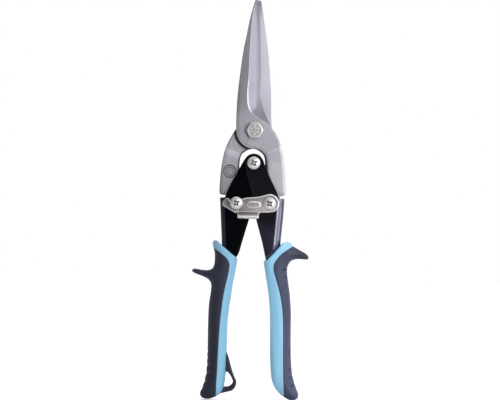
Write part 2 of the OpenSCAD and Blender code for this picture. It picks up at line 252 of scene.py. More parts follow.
def mesh(name, verts, faces, materials, slots, sharp, weighted=True):
    """object from local millimetres; edges over `sharp` degrees are marked sharp"""
    data = bpy.data.meshes.new(name)
    data.from_pydata([tuple(p) for p in to_world(floats(verts))], [],
                     [tuple(int(i) for i in face) for face in faces])
    for material in materials:
        data.materials.append(material)
    if slots is not None:
        data.polygons.foreach_set("material_index", np.asarray(slots, np.int32))
    data.polygons.foreach_set("use_smooth", np.ones(len(data.polygons), bool))
    data.validate()
    data.update()
    data.set_sharp_from_angle(angle=math.radians(sharp))
    obj = bpy.data.objects.new(name, data)
    bpy.context.scene.collection.objects.link(obj)
    if weighted:
        modifier = obj.modifiers.new("weighted", "WEIGHTED_NORMAL")
        modifier.keep_sharp = True
        modifier.weight = 60
    return obj


def ride(obj, body, nodes, slot):
    """hang a mesh on a moving body, in place of CAD nodes"""
    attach(obj, body)
    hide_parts(*nodes)


def merge(parts):
    """one (verts, faces, slots) from several"""
    faces, slots, start = [], [], 0
    for part_verts, part_faces, part_slots in parts:
        faces += [[i + start for i in face] for face in part_faces]
        slots += list(part_slots)
        start += len(part_verts)
    return np.vstack([part[0] for part in parts]), faces, slots


def centres(points, faces):
    return floats([points[face].mean(0) for face in faces])


def used_only(faces):
    """indices in use, and the faces renumbered to match"""
    used = sorted({i for face in faces for i in face})
    place = {old: new for new, old in enumerate(used)}
    return used, [[place[i] for i in face] for face in faces]


def level(height):
    return lambda points: np.full(len(points), height)


def plate(outline, top, bottom, *, grid, holes=(), rings=(), hole_rings=(0.15, 0.4), lines=(),
          zone=None, under_zone=None, skip=None, keep=None):
    """closed skin between two height fields over an outline; returns verts, faces, slots

    rings are depths of the mesh lines that follow the outline, lines are further mesh lines,
    zone and under_zone give material slots, skip leaves out rim faces, keep picks faces
    """
    points, edges = [], []

    def add(line, closed):
        first = len(points)
        points.extend(tuple(point) for point in line)
        last = first + len(line) - 1
        edges.extend((i, i + 1) for i in range(first, last))
        if closed:
            edges.append((last, first))

    loops = [floats(outline)] + [floats(hole) for hole in holes]
    for line in loops:
        add(line, True)

    def in_sheet(spots):
        within = inside(spots, loops[0])
        for hole in loops[1:]:
            within &= ~inside(spots, hole)
        return within

    def clear(spots, margin):
        within = in_sheet(spots)
        for line in loops:
            within &= gap(spots, line, True) >= margin
        return within

    def add_clear(line, margin):
        for run in runs(line, clear(line, margin)):
            add(run, False)

    for n, line in enumerate(loops):
        inward = loop_normals(line)
        if n and ((line - line.mean(0)) * inward).sum() < 0:
            inward = -inward
        for depth in (hole_rings if n else rings):
            add_clear(line + inward * depth, depth * 0.97)
    for line in lines:
        add_clear(floats(line), 0.12)

    low, high = loops[0].min(0), loops[0].max(0)
    columns = np.arange(low[0], high[0], grid)
    rows = np.arange(low[1], high[1], grid * 0.87)
    fill = floats([(x + (grid / 2 if j % 2 else 0), y) for j, y in enumerate(rows)
                   for x in columns])
    fill = fill[clear(fill, max(rings, default=0) + 0.4 * grid)]
    placed = floats(points)
    if len(fill):
        far = np.ones(len(fill), bool)
        for k in range(0, len(fill), 2000):
            squares = ((fill[k:k + 2000, None] - placed[None]) ** 2).sum(2).min(1)
            far[k:k + 2000] = squares > (0.45 * grid) ** 2
        points.extend(tuple(point) for point in fill[far])

    new_points, _, new_faces, *_ = geometry.delaunay_2d_cdt([Vector(p) for p in points], edges,
                                                            [], 0, 1e-4)
    flat = floats([(p.x, p.y) for p in new_points])
    faces = [list(face) for face in new_faces]
    within = in_sheet(centres(flat, faces))
    faces = [face for face, good in zip(faces, within) if good]
    for face in faces:
        if signed_area(flat[face]) < 0:
            face.reverse()
    if keep is not None:
        faces = [face for face, good in zip(faces, keep(centres(flat, faces))) if good]
    used, faces = used_only(faces)
    flat = flat[used]

    high_z, low_z = top(flat), bottom(flat)
    count = len(flat)
    directed = {(face[i], face[(i + 1) % len(face)]) for face in faces for i in range(len(face))}
    rim = [(a, b) for a, b in directed if (b, a) not in directed]
    under = np.arange(count) + count
    for a in {a for edge in rim for a in edge}:  # the skins share a rim point where they meet
        if high_z[a] - low_z[a] < 0.004:
            under[a] = a
            high_z[a] = low_z[a] = 0.5 * (high_z[a] + low_z[a])
    verts = np.vstack([np.column_stack([flat, high_z]), np.column_stack([flat, low_z])])
    middle = centres(flat, faces)
    slots = []
    for paint in (zone, under_zone):
        slots += list(paint(middle)) if paint else [0] * len(faces)
    skin = [list(face) for face in faces] + [[under[i] for i in reversed(face)] for face in faces]
    for a, b in sorted(rim):
        if skip is not None and skip(flat[a], flat[b]):
            continue
        wall = [b, a, under[a], under[b]]
        wall = [i for n, i in enumerate(wall) if i not in wall[:n]]
        if len(wall) > 2:
            skin.append(wall)
            slots.append(0)
    used, skin = used_only(skin)
    return verts[used], skin, slots


# ------------------------------------------------------------------ shader building
class Shader:
    """one node tree, with short calls for the nodes used here"""

    def __init__(self, tree, main):
        self.tree = tree
        self.main = tree.nodes[main]

    def node(self, kind, **settings):
        node = self.tree.nodes.new("ShaderNode" + kind)
        for key, value in settings.items():
            setattr(node, key, value)
        return node

    def feed(self, socket, value):
        if isinstance(value, bpy.types.NodeSocket):
            self.tree.links.new(value, socket)
        else:
            socket.default_value = value

    def surface(self, values):
        for key, value in values.items():
            self.feed(self.main.inputs[key], value)

    def coords(self, kind="Object"):
        return self.node("TexCoord").outputs[kind]

    def axes(self, vector):
        split = self.node("SeparateXYZ")
        self.feed(split.inputs[0], vector)
        return split.outputs

    def math(self, operation, first, second):
        node = self.node("Math", operation=operation)
        self.feed(node.inputs[0], first)
        self.feed(node.inputs[1], second)
        return node.outputs[0]

    def times(self, first, second):
        return self.math("MULTIPLY", first, second)

    def weigh(self, first, first_weight, second, second_weight):
        return self.math("ADD", self.times(first, first_weight),
                         self.times(second, second_weight))

    def map_range(self, value, start, end, low, high, kind="SMOOTHSTEP"):
        node = self.node("MapRange", interpolation_type=kind)
        for key, setting in (("Value", value), ("From Min", start), ("From Max", end),
                             ("To Min", low), ("To Max", high)):
            self.feed(node.inputs[key], setting)
        return node.outputs[0]

    def ramp(self, value, places, ends):
        """two-stop ramp; the ends are colours or greys"""
        node = self.node("ValToRGB")
        self.feed(node.inputs[0], value)
        for element, place, end in zip(node.color_ramp.elements, places, ends):
            element.position = place
            element.color = (*(end if isinstance(end, tuple) else (end,) * 3), 1)
        return node.outputs[0]

    def noise(self, vector, scale, detail, rough, stretch=None):
        if stretch:
            mapping = self.node("Mapping")
            self.feed(mapping.inputs["Scale"], stretch)
            self.feed(mapping.inputs[0], vector)
            vector = mapping.outputs[0]
        node = self.node("TexNoise")
        for key, value in (("Scale", scale), ("Detail", detail), ("Roughness", rough),
                           ("Vector", vector)):
            self.feed(node.inputs[key], value)
        return node.outputs["Fac"]

    def bump(self, height, strength, distance, normal=None):
        node = self.node("Bump")
        self.feed(node.inputs["Strength"], strength)
        self.feed(node.inputs["Distance"], distance)
        self.feed(node.inputs["Height"], height)
        if normal is not None:
            self.feed(node.inputs["Normal"], normal)
        return node.outputs[0]

    def mix(self, factor, first, second):
        """colour mix; the second colour is a plain RGB tuple"""
        node = self.node("Mix", data_type="RGBA")
        self.feed(node.inputs[0], factor)
        self.feed(node.inputs[6], first)
        self.feed(node.inputs[7], (*second, 1))
        return node.outputs[2]

    def edge_mask(self, radius):
        """bright on sharp edges, where a rounded normal leaves the true one"""
        bevel = self.node("Bevel", samples=4)
        self.feed(bevel.inputs["Radius"], radius)
        true = self.node("NewGeometry")
        dot = self.node("VectorMath", operation="DOT_PRODUCT")
        self.feed(dot.inputs[0], bevel.outputs[0])
        self.feed(dot.inputs[1], true.outputs["Normal"])
        return self.map_range(dot.outputs["Value"], start=0.995, end=0.85, low=0.0, high=1.0,
                              kind="LINEAR")

    def fades(self, coords, colour, rows):
        """scale a colour along the piece. Rows: x weight, y weight (local axes), start and
        end of the weighted sum in mm, factor at the start, factor at the end"""
        axes = self.axes(coords)
        for x_weight, y_weight, start, end, low, high in rows:
            place = self.weigh(axes["X"], x_weight * 1000, axes["Z"], y_weight * 1000)
            factor = self.map_range(place, start, end, low, high)
            scale = self.node("VectorMath", operation="SCALE")
            self.feed(scale.inputs[0], colour)
            self.feed(scale.inputs["Scale"], factor)
            colour = scale.outputs[0]
        return colour


def new_material(name):
    material = bpy.data.materials.new(name)
    material.use_nodes = True
    return material, Shader(material.node_tree, "Principled BSDF")


def steel(name, low, high, rough=(0.50, 0.66), grain=2200, streak=None, bump=0.5,
          wear=(0.66, 0.66, 0.7), wear_amount=0.35, metallic=0.55, edge=0.0006, mottle=0.0,
          fade=()):
    """metal between two colours, with brighter wear on its edges; the defaults suit the forgings
    """
    material, shader = new_material(name)
    coords = shader.coords()
    fine = shader.noise(coords, grain, detail=3, rough=0.7)
    broad = shader.noise(coords, 55, detail=5, rough=0.55)
    blend = shader.weigh(fine, 0.35, broad, 0.65)
    relief = fine
    if streak:
        relief = shader.noise(coords, 900, detail=2, rough=0.5, stretch=streak)
        blend = shader.weigh(blend, 0.5, relief, 0.5)
    if mottle:
        spots = shader.noise(coords, 420, detail=5, rough=0.65)
        blend = shader.weigh(blend, 1 - mottle, spots, mottle)
    colour = shader.fades(coords, shader.ramp(blend, (0.3, 0.7), (low, high)), fade)
    edge_brightening = shader.times(shader.edge_mask(edge), shader.times(broad, 2 * wear_amount))
    shader.surface({
        "Base Color": shader.mix(edge_brightening, colour, wear),
        "Roughness": shader.ramp(blend, (0.25, 0.75), rough),
        "Metallic": metallic,
        "Normal": shader.bump(relief, strength=bump, distance=0.00006)})
    return material


def coat(name, low, high, rough, spec, coat_weight, tint=(1, 1, 1), fade=(), shade=()):
    """dark paint; shade has rows as for fades, which turn the gloss down as well, for painted
    shade
    """
    material, shader = new_material(name)
    coords = shader.coords()
    fine = shader.noise(coords, 1500, detail=4, rough=0.6)
    broad = shader.noise(coords, 40, detail=4, rough=0.5)
    # the edges are mixed toward grey: edge wear and a painted edge highlight
    edge_brightening = shader.times(shader.edge_mask(0.0004), shader.times(broad, 0.6))
    colour = shader.fades(coords, shader.ramp(broad, (0.35, 0.65), (low, high)), fade)
    shader.surface({
        "Specular Tint": (*tint, 1),
        "Base Color": shader.mix(edge_brightening, colour, (0.13, 0.13, 0.16)),
        "Roughness": shader.ramp(shader.weigh(fine, 0.4, broad, 0.6), (0.3, 0.7), rough),
        "Specular IOR Level": spec,
        "Coat Weight": coat_weight,
        "Coat Roughness": 0.2})
    if shade:
        white = shader.node("RGB").outputs[0]
        white.default_value = (1, 1, 1, 1)
        gloss = shader.axes(shader.fades(coords, white, shade))["X"]
        shader.surface({"Specular IOR Level": shader.times(gloss, spec),
                        "Coat Weight": shader.times(gloss, coat_weight)})
    shader.surface({"Normal": shader.bump(fine, strength=0.22, distance=0.00005)})
    return material


def polymer(name, low, high, rough, grain, bump, subsurface=0.0, stipple=0.0, tint=(1, 1, 1),
            fade=()):
    material, shader = new_material(name)
    coords = shader.coords()
    fine = shader.noise(coords, grain, detail=4, rough=0.65)
    broad = shader.noise(coords, 28, detail=4, rough=0.5)
    colour = shader.ramp(shader.weigh(fine, 0.3, broad, 0.7), (0.32, 0.68), (low, high))
    shader.surface({
        "Specular Tint": (*tint, 1),
        "Base Color": shader.fades(coords, colour, fade),
        "Roughness": shader.ramp(broad, (0.3, 0.7), rough),
        "Subsurface Weight": subsurface,
        "Subsurface Radius": (0.001, 0.0012, 0.0014)})
    normal = shader.bump(fine, strength=bump, distance=0.00008)
    if stipple:
        cells = shader.node("TexVoronoi")
        shader.feed(cells.inputs["Scale"], 1400)
        shader.feed(cells.inputs["Vector"], coords)
        normal = shader.bump(cells.outputs["Distance"], strength=stipple, distance=0.00012,
                             normal=normal)
    shader.surface({"Normal": normal})
    return material


# ------------------------------------------------------------------ steels
BLASTED = dict(low=(0.30, 0.30, 0.335), high=(0.41, 0.41, 0.455))
GROUND_TONE = dict(low=(0.25, 0.25, 0.30), high=(0.315, 0.315, 0.37), grain=1800, bump=0.16,
                   metallic=0.6)

# Rows of the front copy: darker toward the tip, lighter on the tail on the right (painted light),
# darker at the tail's end, and darker toward the left edge (painted shade)
FORGED = steel("forged_steel_blasted", **BLASTED,
               fade=[(0, 1, 2, 24, 1.0, 0.64), (0, 1, -20, -25, 1.0, 1.14),
                     (0, 1, -40, -46, 1.0, 0.92), (1, 0, -9.8, -12.4, 1.0, 0.66),
                     (1, 0.1, -3.5, -7, 1.0, 0.91)])
# The rear copy has a lighter band over the step of its tail on the left (painted light), darker
# steel beyond it, and a darker far left edge (painted shade)
FORGED_REAR = steel("forged_steel_blasted_rear", **BLASTED,
                    fade=[(0, 1, 2, 24, 1.0, 0.64), (0, 1, -40, -46, 1.0, 0.92),
                          (0.41, 1, -20.6, -21.2, 1.0, 1.2), (0.41, 1, -22.9, -27.5, 1.0, 0.73),
                          (1, 0, -21.5, -23.5, 1.0, 0.86), (0.3, 1, -37, -48, 1.0, 0.84)])
JOGGLE_STEEL = steel("forged_steel_joggle", low=(0.305, 0.31, 0.345), high=(0.42, 0.425, 0.465))
# Dark steel in the shallow grooves inside the rims: painted shade
GROOVE_SHADE_STEEL = steel("forged_steel_groove_painted_shade", low=(0.17, 0.17, 0.19), high=(0.25, 0.25, 0.28),
                     rough=(0.55, 0.7), wear=(0.5, 0.5, 0.53), wear_amount=0.3)
STAMP_STEEL = steel("forged_steel_stamp", low=(0.06, 0.06, 0.072), high=(0.12, 0.12, 0.138),
                    wear=(0.5, 0.5, 0.53), wear_amount=0.4)
STAMP_FLOOR_STEEL = steel("forged_steel_stamp_floor", low=(0.2, 0.2, 0.225),
                          high=(0.3, 0.3, 0.33), wear=(0.6, 0.6, 0.64))
GROUND_STEEL = steel("ground_steel", **GROUND_TONE, rough=(0.40, 0.52), streak=(1, 1, 14),
                     wear=(0.6, 0.6, 0.68), wear_amount=0.3,
                     fade=[(0, 1, 80, 95, 1.0, 0.75), (0, 1, 13, 18, 0.8, 1.0)])
# Bright steel on the crest where the grind begins: the crest is in the geometry, its brightness is
# a painted highlight, dimmer toward the tip and the lower right
CREST_HIGHLIGHT_STEEL = steel("ground_crest_painted_highlight", low=(0.62, 0.62, 0.70), high=(0.80, 0.80, 0.88),
                    rough=(0.34, 0.46), grain=1800, bump=0.12, wear=(0.95, 0.95, 1.0),
                    wear_amount=0.4, metallic=0.5,
                    fade=[(0, 1, 28, 46, 1.0, 0.62), (0.4, 1, 11, 14, 0.62, 1.0)])
# Its row darkens the rim on the left: painted shade
RIM_STEEL = steel("forged_steel_rim", low=(0.37, 0.37, 0.405), high=(0.49, 0.49, 0.535),
                  wear=(0.7, 0.7, 0.74), wear_amount=0.4, fade=[(1, 0, -9.8, -12.4, 1.0, 0.62)])
# Bright steel on the joggle's top edge and on the front tail's outer chamfer: painted highlight,
# brighter toward the top
EDGE_HIGHLIGHT_STEEL = steel("forged_steel_edge_painted_highlight", low=(0.37, 0.37, 0.40), high=(0.50, 0.50, 0.54),
                   rough=(0.46, 0.6), bump=0.4, wear=(0.85, 0.85, 0.89), wear_amount=0.5,
                   fade=[(0, 1, -13.0, -17.5, 1.25, 1.0)])
# Its first row darkens the low end of the strip: painted shade below the end wall of the grind
RELIEF_STEEL = steel("relief_steel", **GROUND_TONE, rough=(0.44, 0.54), streak=(1, 1, 12),
                     wear=(0.5, 0.5, 0.56), wear_amount=0.15,
                     fade=[(0, 1, 14, 27, 0.72, 1.0), (0, 1, 66, 94, 1.0, 0.66)])
# Its first row darkens the tip of the flat, which leans back: painted shade
FLAT_STEEL = steel("flat_ground_steel", low=(0.46, 0.46, 0.53), high=(0.56, 0.56, 0.635),
                   rough=(0.36, 0.46), grain=1500, streak=(14, 1, 1), bump=0.12,
                   wear=(0.85, 0.85, 0.9), wear_amount=0.3, metallic=0.6,
                   fade=[(-0.8, 1, 76, 92, 1.0, 0.42), (0, 1, 14, 40, 0.84, 1.0)])
# Dark steel for painted shade: the painted shadow round the bolt head, the arch's draft walls and
# the gap round the rear blade's seat
PAINTED_SHADE_STEEL = steel("painted_shade_steel", low=(0.03, 0.03, 0.036), high=(0.075, 0.073, 0.08),
                    rough=(0.6, 0.8), grain=1500, wear=(0.12, 0.12, 0.13), wear_amount=0.3,
                    metallic=0.3)
# Rows: lighter toward the right and darker at the hook on the left (painted light and painted
# shade), darker toward the top edge, a painted shadow just under the tab's fold and a painted
# highlight on the tab below it
NICKEL = steel("latch_nickel", low=(0.11, 0.10, 0.104), high=(0.34, 0.315, 0.323),
               rough=(0.34, 0.52), grain=800, bump=0.35, wear=(0.9, 0.88, 0.88),
               wear_amount=0.8, metallic=0.75, mottle=0.45,
               fade=[(1, 0, -12, 12, 0.76, 1.8), (1, 0, -21, -14, 0.72, 1.0),
                     (0, 1, -54, -49.5, 1.0, 0.68), (0, 1, -59.0, -59.5, 1.0, 0.42),
                     (0, 1, -60.0, -61.8, 1.0, 2.1)])
# Its rows darken the rim toward the left (painted shade) and on the tab
NICKEL_RIM = steel("latch_nickel_rim", low=(0.50, 0.47, 0.475), high=(0.74, 0.70, 0.71),
                   rough=(0.3, 0.45), grain=900, bump=0.2, wear=(0.95, 0.93, 0.93),
                   wear_amount=0.8, metallic=0.75, mottle=0.4,
                   fade=[(1, 0, -20, 6, 0.74, 1.0), (0, 1, -60.5, -62.0, 1.0, 0.86)])
SCREW_NICKEL = steel("screw_nickel", low=(0.50, 0.49, 0.50), high=(0.68, 0.67, 0.68),
                     rough=(0.3, 0.42), grain=1200, bump=0.15, wear=(0.97, 0.96, 0.96),
                     wear_amount=0.8, metallic=0.8)
# Dark steel on the walls of the cross recesses: painted shade
RECESS_SHADE = steel("screw_recess_painted_shade", low=(0.02, 0.02, 0.022), high=(0.16, 0.15, 0.15),
               rough=(0.4, 0.6), grain=1400, bump=0.3, wear=(0.2, 0.19, 0.18),
               wear_amount=0.4, metallic=0.5)
ZINC = steel("bolt_zinc", low=(0.44, 0.43, 0.44), high=(0.62, 0.61, 0.62), rough=(0.3, 0.42),
             grain=1100, bump=0.2, wear=(0.97, 0.96, 0.96), wear_amount=0.9, metallic=0.8,
             edge=0.0005)
BOLT_FACE = steel("bolt_face", low=(0.20, 0.19, 0.195), high=(0.52, 0.50, 0.515),
                  rough=(0.4, 0.6), grain=700, wear=(0.85, 0.82, 0.8), wear_amount=0.6,
                  metallic=0.75, mottle=0.5)
BRASS = steel("bush_brass", low=(0.45, 0.33, 0.13), high=(0.58, 0.45, 0.2), rough=(0.3, 0.45),
              grain=1300, bump=0.15, wear=(0.8, 0.66, 0.36), wear_amount=0.6, metallic=1.0)
SPRING_STEEL = steel("spring_steel", low=(0.3, 0.3, 0.31), high=(0.42, 0.42, 0.44),
                     rough=(0.25, 0.4), grain=1700, streak=(1, 6, 1), bump=0.15,
                     wear=(0.75, 0.75, 0.77), wear_amount=0.5, metallic=1.0)

# ------------------------------------------------------------------ paints and plastics
BLACK = coat("black_ecoat", low=(0.0006, 0.0007, 0.0015), high=(0.0015, 0.0017, 0.003),
             rough=(0.28, 0.4), spec=0.016, coat_weight=0.004)
# Lighter copy of the black paint for the right handle: painted light, with a painted reflection
# growing toward the grip
BLACK_RIGHT_PAINTED_LIGHT = coat("black_ecoat_right_painted_light", low=(0.003, 0.0032, 0.006), high=(0.006, 0.0064, 0.011),
                   rough=(0.28, 0.4), spec=0.06, coat_weight=0.02,
                   fade=[(0.35, 1, -56, -72, 0.7, 3.9)])
# The black paint on the left fold and web, with a lighter bluish base: painted sheen
WEB_LEFT_PAINTED_SHEEN = coat("black_ecoat_left_side_painted_sheen", low=(0.006, 0.006, 0.018), high=(0.010, 0.010, 0.026),
                rough=(0.22, 0.32), spec=0.3, coat_weight=0.06, tint=(0.8, 0.8, 1.0))
# The black paint on the right fold and web, with a lighter bluish base (painted sheen), a painted
# highlight six times as bright in a band along the fold, and painted shade, dark and without
# gloss, where the flange steps back into the grip
WEB_RIGHT_PAINTED_SHEEN = coat("black_ecoat_side_painted_sheen", low=(0.015, 0.015, 0.027), high=(0.024, 0.024, 0.041),
                 rough=(0.16, 0.24), spec=1.0, coat_weight=0.3, tint=(0.86, 0.88, 1.0),
                 fade=[(-1.476, 1, -110.6, -111.8, 1.0, 0.2), (1, -0.055, 20.6, 21.6, 1.0, 6.0),
                       (1, -0.055, 22.9, 24.0, 1.0, 0.167)],
                 shade=[(-1.476, 1, -110.6, -111.8, 1.0, 0.05)])

PLASTIC = dict(rough=(0.42, 0.54), grain=1300, bump=0.12, subsurface=0.03)
RUBBER = dict(grain=1500, bump=0.25)
# Both grips are the same plastic and the same rubber; the right-hand copies are lighter: painted
# light
BLUE_LEFT = polymer("sky_blue_plastic", low=(0.185, 0.405, 0.575), high=(0.21, 0.44, 0.615),
                    **PLASTIC)
# Its rows make it lighter near its inner edge and darker right at that edge (painted light and
# painted shade), and darker toward the foot
BLUE_RIGHT_PAINTED_LIGHT = polymer("sky_blue_plastic_right_painted_light", low=(0.26, 0.545, 0.745),
                     high=(0.29, 0.585, 0.785), **PLASTIC,
                     fade=[(1, 0.085, 5.0, 8.0, 1.19, 1.0), (1, 0.085, 1.8, 3.8, 0.86, 1.0),
                           (0, 1, -140, -160, 1.0, 0.93)])
DARK_LEFT = polymer("dark_rubber", low=(0.006, 0.0065, 0.018), high=(0.0105, 0.0115, 0.029),
                    rough=(0.52, 0.66), **RUBBER, stipple=0.25, tint=(0.8, 0.88, 1.0),
                    fade=[(0, 1, -125, -155, 1.0, 0.72)])
# Lighter copy of the dark rubber for the right grip: painted light; its rows make it lighter
# toward the foot and darker on the horn
DARK_RIGHT_PAINTED_LIGHT = polymer("dark_rubber_right_painted_light", low=(0.0255, 0.0285, 0.0625),
                     high=(0.04, 0.045, 0.093), rough=(0.48, 0.6), **RUBBER, stipple=0.25,
                     tint=(0.82, 0.9, 1.0),
                     fade=[(0, 1, -125, -155, 1.0, 1.22), (1, 0.35, -4, 2.5, 1.0, 0.46)])
# Very dark rubber in the floors of the finger notches: painted shade
NICK_SHADE = polymer("dark_rubber_nick_painted_shade", low=(0.002, 0.002, 0.004), high=(0.005, 0.005, 0.009),
               rough=(0.7, 0.85), **RUBBER)

# ------------------------------------------------------------------ blades
# Both are drawn with the jaw on the left and the tail on the right. All lines are (x, y).
BLADE_STEELS = [GROUND_STEEL, RELIEF_STEEL, FLAT_STEEL, JOGGLE_STEEL, PAINTED_SHADE_STEEL, STAMP_STEEL,
                CREST_HIGHLIGHT_STEEL, RIM_STEEL, GROOVE_SHADE_STEEL, STAMP_FLOOR_STEEL, EDGE_HIGHLIGHT_STEEL]
# Slots of these steels; slot 0 is the forged body, and SCALE is the slot of the dark steel for
# painted shade
(GROUND, RELIEF, FLAT, JOGGLE, SCALE, STAMP, CREST_HIGHLIGHT, RIM, GROOVE_SHADE, STAMP_FLOOR,
 EDGE_HIGHLIGHT) = range(1, 12)

# Top of the grind, from the pivot to the tip, and the line where the grind ends
RIDGE = spline([[-1.3, 95.5], [-2.5, 90], [-3.6, 80], [-4.2, 70], [-4.7, 60], [-5, 50],
                [-5.15, 40], [-5.35, 34], [-5.8, 28], [-5.85, 23], [-5.3, 18.4], [-4.2, 15],
                [-2.9, 12.7], [-1.4, 11.2], [1.2, 9.4], [5, 7], [9.4, 5.2], [13.6, 4.4]])[::-1]
GRIND_END = spline([[-1.0, 97], [-0.9, 93], [-0.25, 80], [0.1, 60], [0.35, 40], [0.55, 28],
                    [0.7, 21], [0.3, 16.2], [-0.9, 14.0], [-2.7, 12.9]])
# Painted shadow round the left side of the bolt head
HEX_SHADE = resample(hexagon((-0.72, -0.12), 6.38), 0.5, True)

# Arch between the hub and the tail
ARCH_FRONT = [[-0.15, -13.38], [2.05, -13.95], [4.25, -15.24], [6.46, -17.2], [7.72, -19.8],
              [8.1, -23], [8.4, -26.5], [8.7, -29.5], [8.2, -35], [6.4, -44], [5.1, -50.6],
              [5.0, -52.8]]
ARCH_REAR = [[2.2, -13.42], [4.48, -14.24], [6.62, -15.5], [8.77, -17.3], [9.93, -20.15],
             [10.4, -24], [10.4, -27.5], [9.4, -35], [7.2, -44], [5.4, -50.6], [5.0, -52.8]]
# Top edge of the forging draft round each arch
DRAFT_FRONT = [[-1.0, -13.16], [2.2, -13.42], [4.75, -14.55], [7.3, -16.75], [8.8, -19.5],
               [9.3, -23], [9.6, -28.5], [8.7, -35], [6.8, -44], [5.3, -50.6], [5.0, -52.8]]
DRAFT_REAR = [[1.6, -13.1], [2.6, -13.0], [4.9, -13.65], [7.15, -14.95], [9.4, -16.95],
              [10.65, -20.0], [11.1, -24], [11.1, -27.5], [10.0, -35], [7.6, -44], [5.6, -50.6],
              [5.0, -52.8]]
SPINE_FRONT = [[-0.9, 95.4], [-2.8, 90], [-5.2, 80], [-7, 70], [-8.9, 60], [-10.3, 50],
               [-11.4, 40], [-12.4, 30], [-13.1, 20], [-13.4, 10], [-13.4, 4], [-13.18, -0.7]]
SPINE_REAR = [[-2.1, 94.5], [-2.9, 93.4], [-3.5, 90.5], [-5.2, 80], [-6.9, 70], [-8.3, 60],
              [-9.6, 50], [-10.5, 40], [-11.3, 30], [-11.75, 20], [-11.9, 10], [-12.5, 3],
              [-13.18, -0.7]]
CUT_FRONT = [[12, 2.3], [10, 7], [7.5, 12], [5, 19], [3.3, 26], [3.8, 40], [3.5, 50], [3, 65],
             [2.1, 82], [1.1, 90], [-0.1, 94.6]]
CUT_REAR = [[11.9, 3], [10, 7], [7.5, 12], [5, 19], [3.3, 26], [3.6, 40], [3.3, 50], [2.8, 65],
            [1.8, 82], [0.9, 90], [0.2, 93], [-0.15, 94.3]]
TAIL_FRONT = [[19.6, -47.2], [22.5, -46.8], [23.35, -45.6], [23.5, -43], [23.1, -36],
              [22.4, -27], [21.4, -19], [20.2, -14], [18.6, -8.5], [17, -5], [15, -1.5],
              [12, 2.3]]
TAIL_REAR = [[20.2, -47.2], [23.6, -46.8], [24.4, -45.6], [24.5, -43], [24.2, -36], [23.5, -27],
             [22.2, -19], [21, -14], [18.8, -8.5], [17, -5], [15, -1.5], [12.4, 2.3], [11.9, 3]]
TAIL_STEP = [[19, -52.8], [19.6, -47.9]]  # from the tail eye up to the tail's outer edge

HUB_RADIUS = 13.2
EYE_RADIUS = 7
SEAT_RADIUS = 14.9  # round seat on the rear blade's inner face
STAMP_AT = (17.3, -30)  # round stamp on the rear blade's tail
INNER_Z = 0.03


def joggle(x):
    """upper and lower y of the slope where the tail steps back"""
    return -16.45 + 0.49 * (x - 10), -23.0 + 0.33 * (x - 10)


def tail_drop(points):
    x, y = points.T
    upper, lower = joggle(x)
    return 1.95 * np.clip((upper - y) / (upper - lower), 0, 1)


def jaw_face(points):
    """height of a blade's outer face above its flat"""
    y = points[:, 1]
    away, side = measure(points, RIDGE)
    over = np.where(side > 0, -1, 1) * away  # positive on the ground side of the ridge
    z = 6.0 - 0.13 * np.maximum(-over, 0) * rise(y, 18, 25)
    step = 0.95 - 0.83 * rise(y, 24, 16)
    slope = 0.235
    ground = (step * smooth(over / (0.65 + 0.2 * rise(y, 10, 4)))
              + slope * np.maximum(over - 0.4, 0) * rise(y, 4, 12))
    away, side = measure(points, GRIND_END)
    relief = np.where(side > 0, away, 0) * rise(y, 14, 6)
    ground = ground - 0.19 * (np.sqrt(relief ** 2 + 0.81) - 0.9)
    z = z - np.where(over > 0, ground, 0)
    taper = 1 - 0.45 * rise(y, 25, 75)
    return np.maximum(z * taper, 0.45)


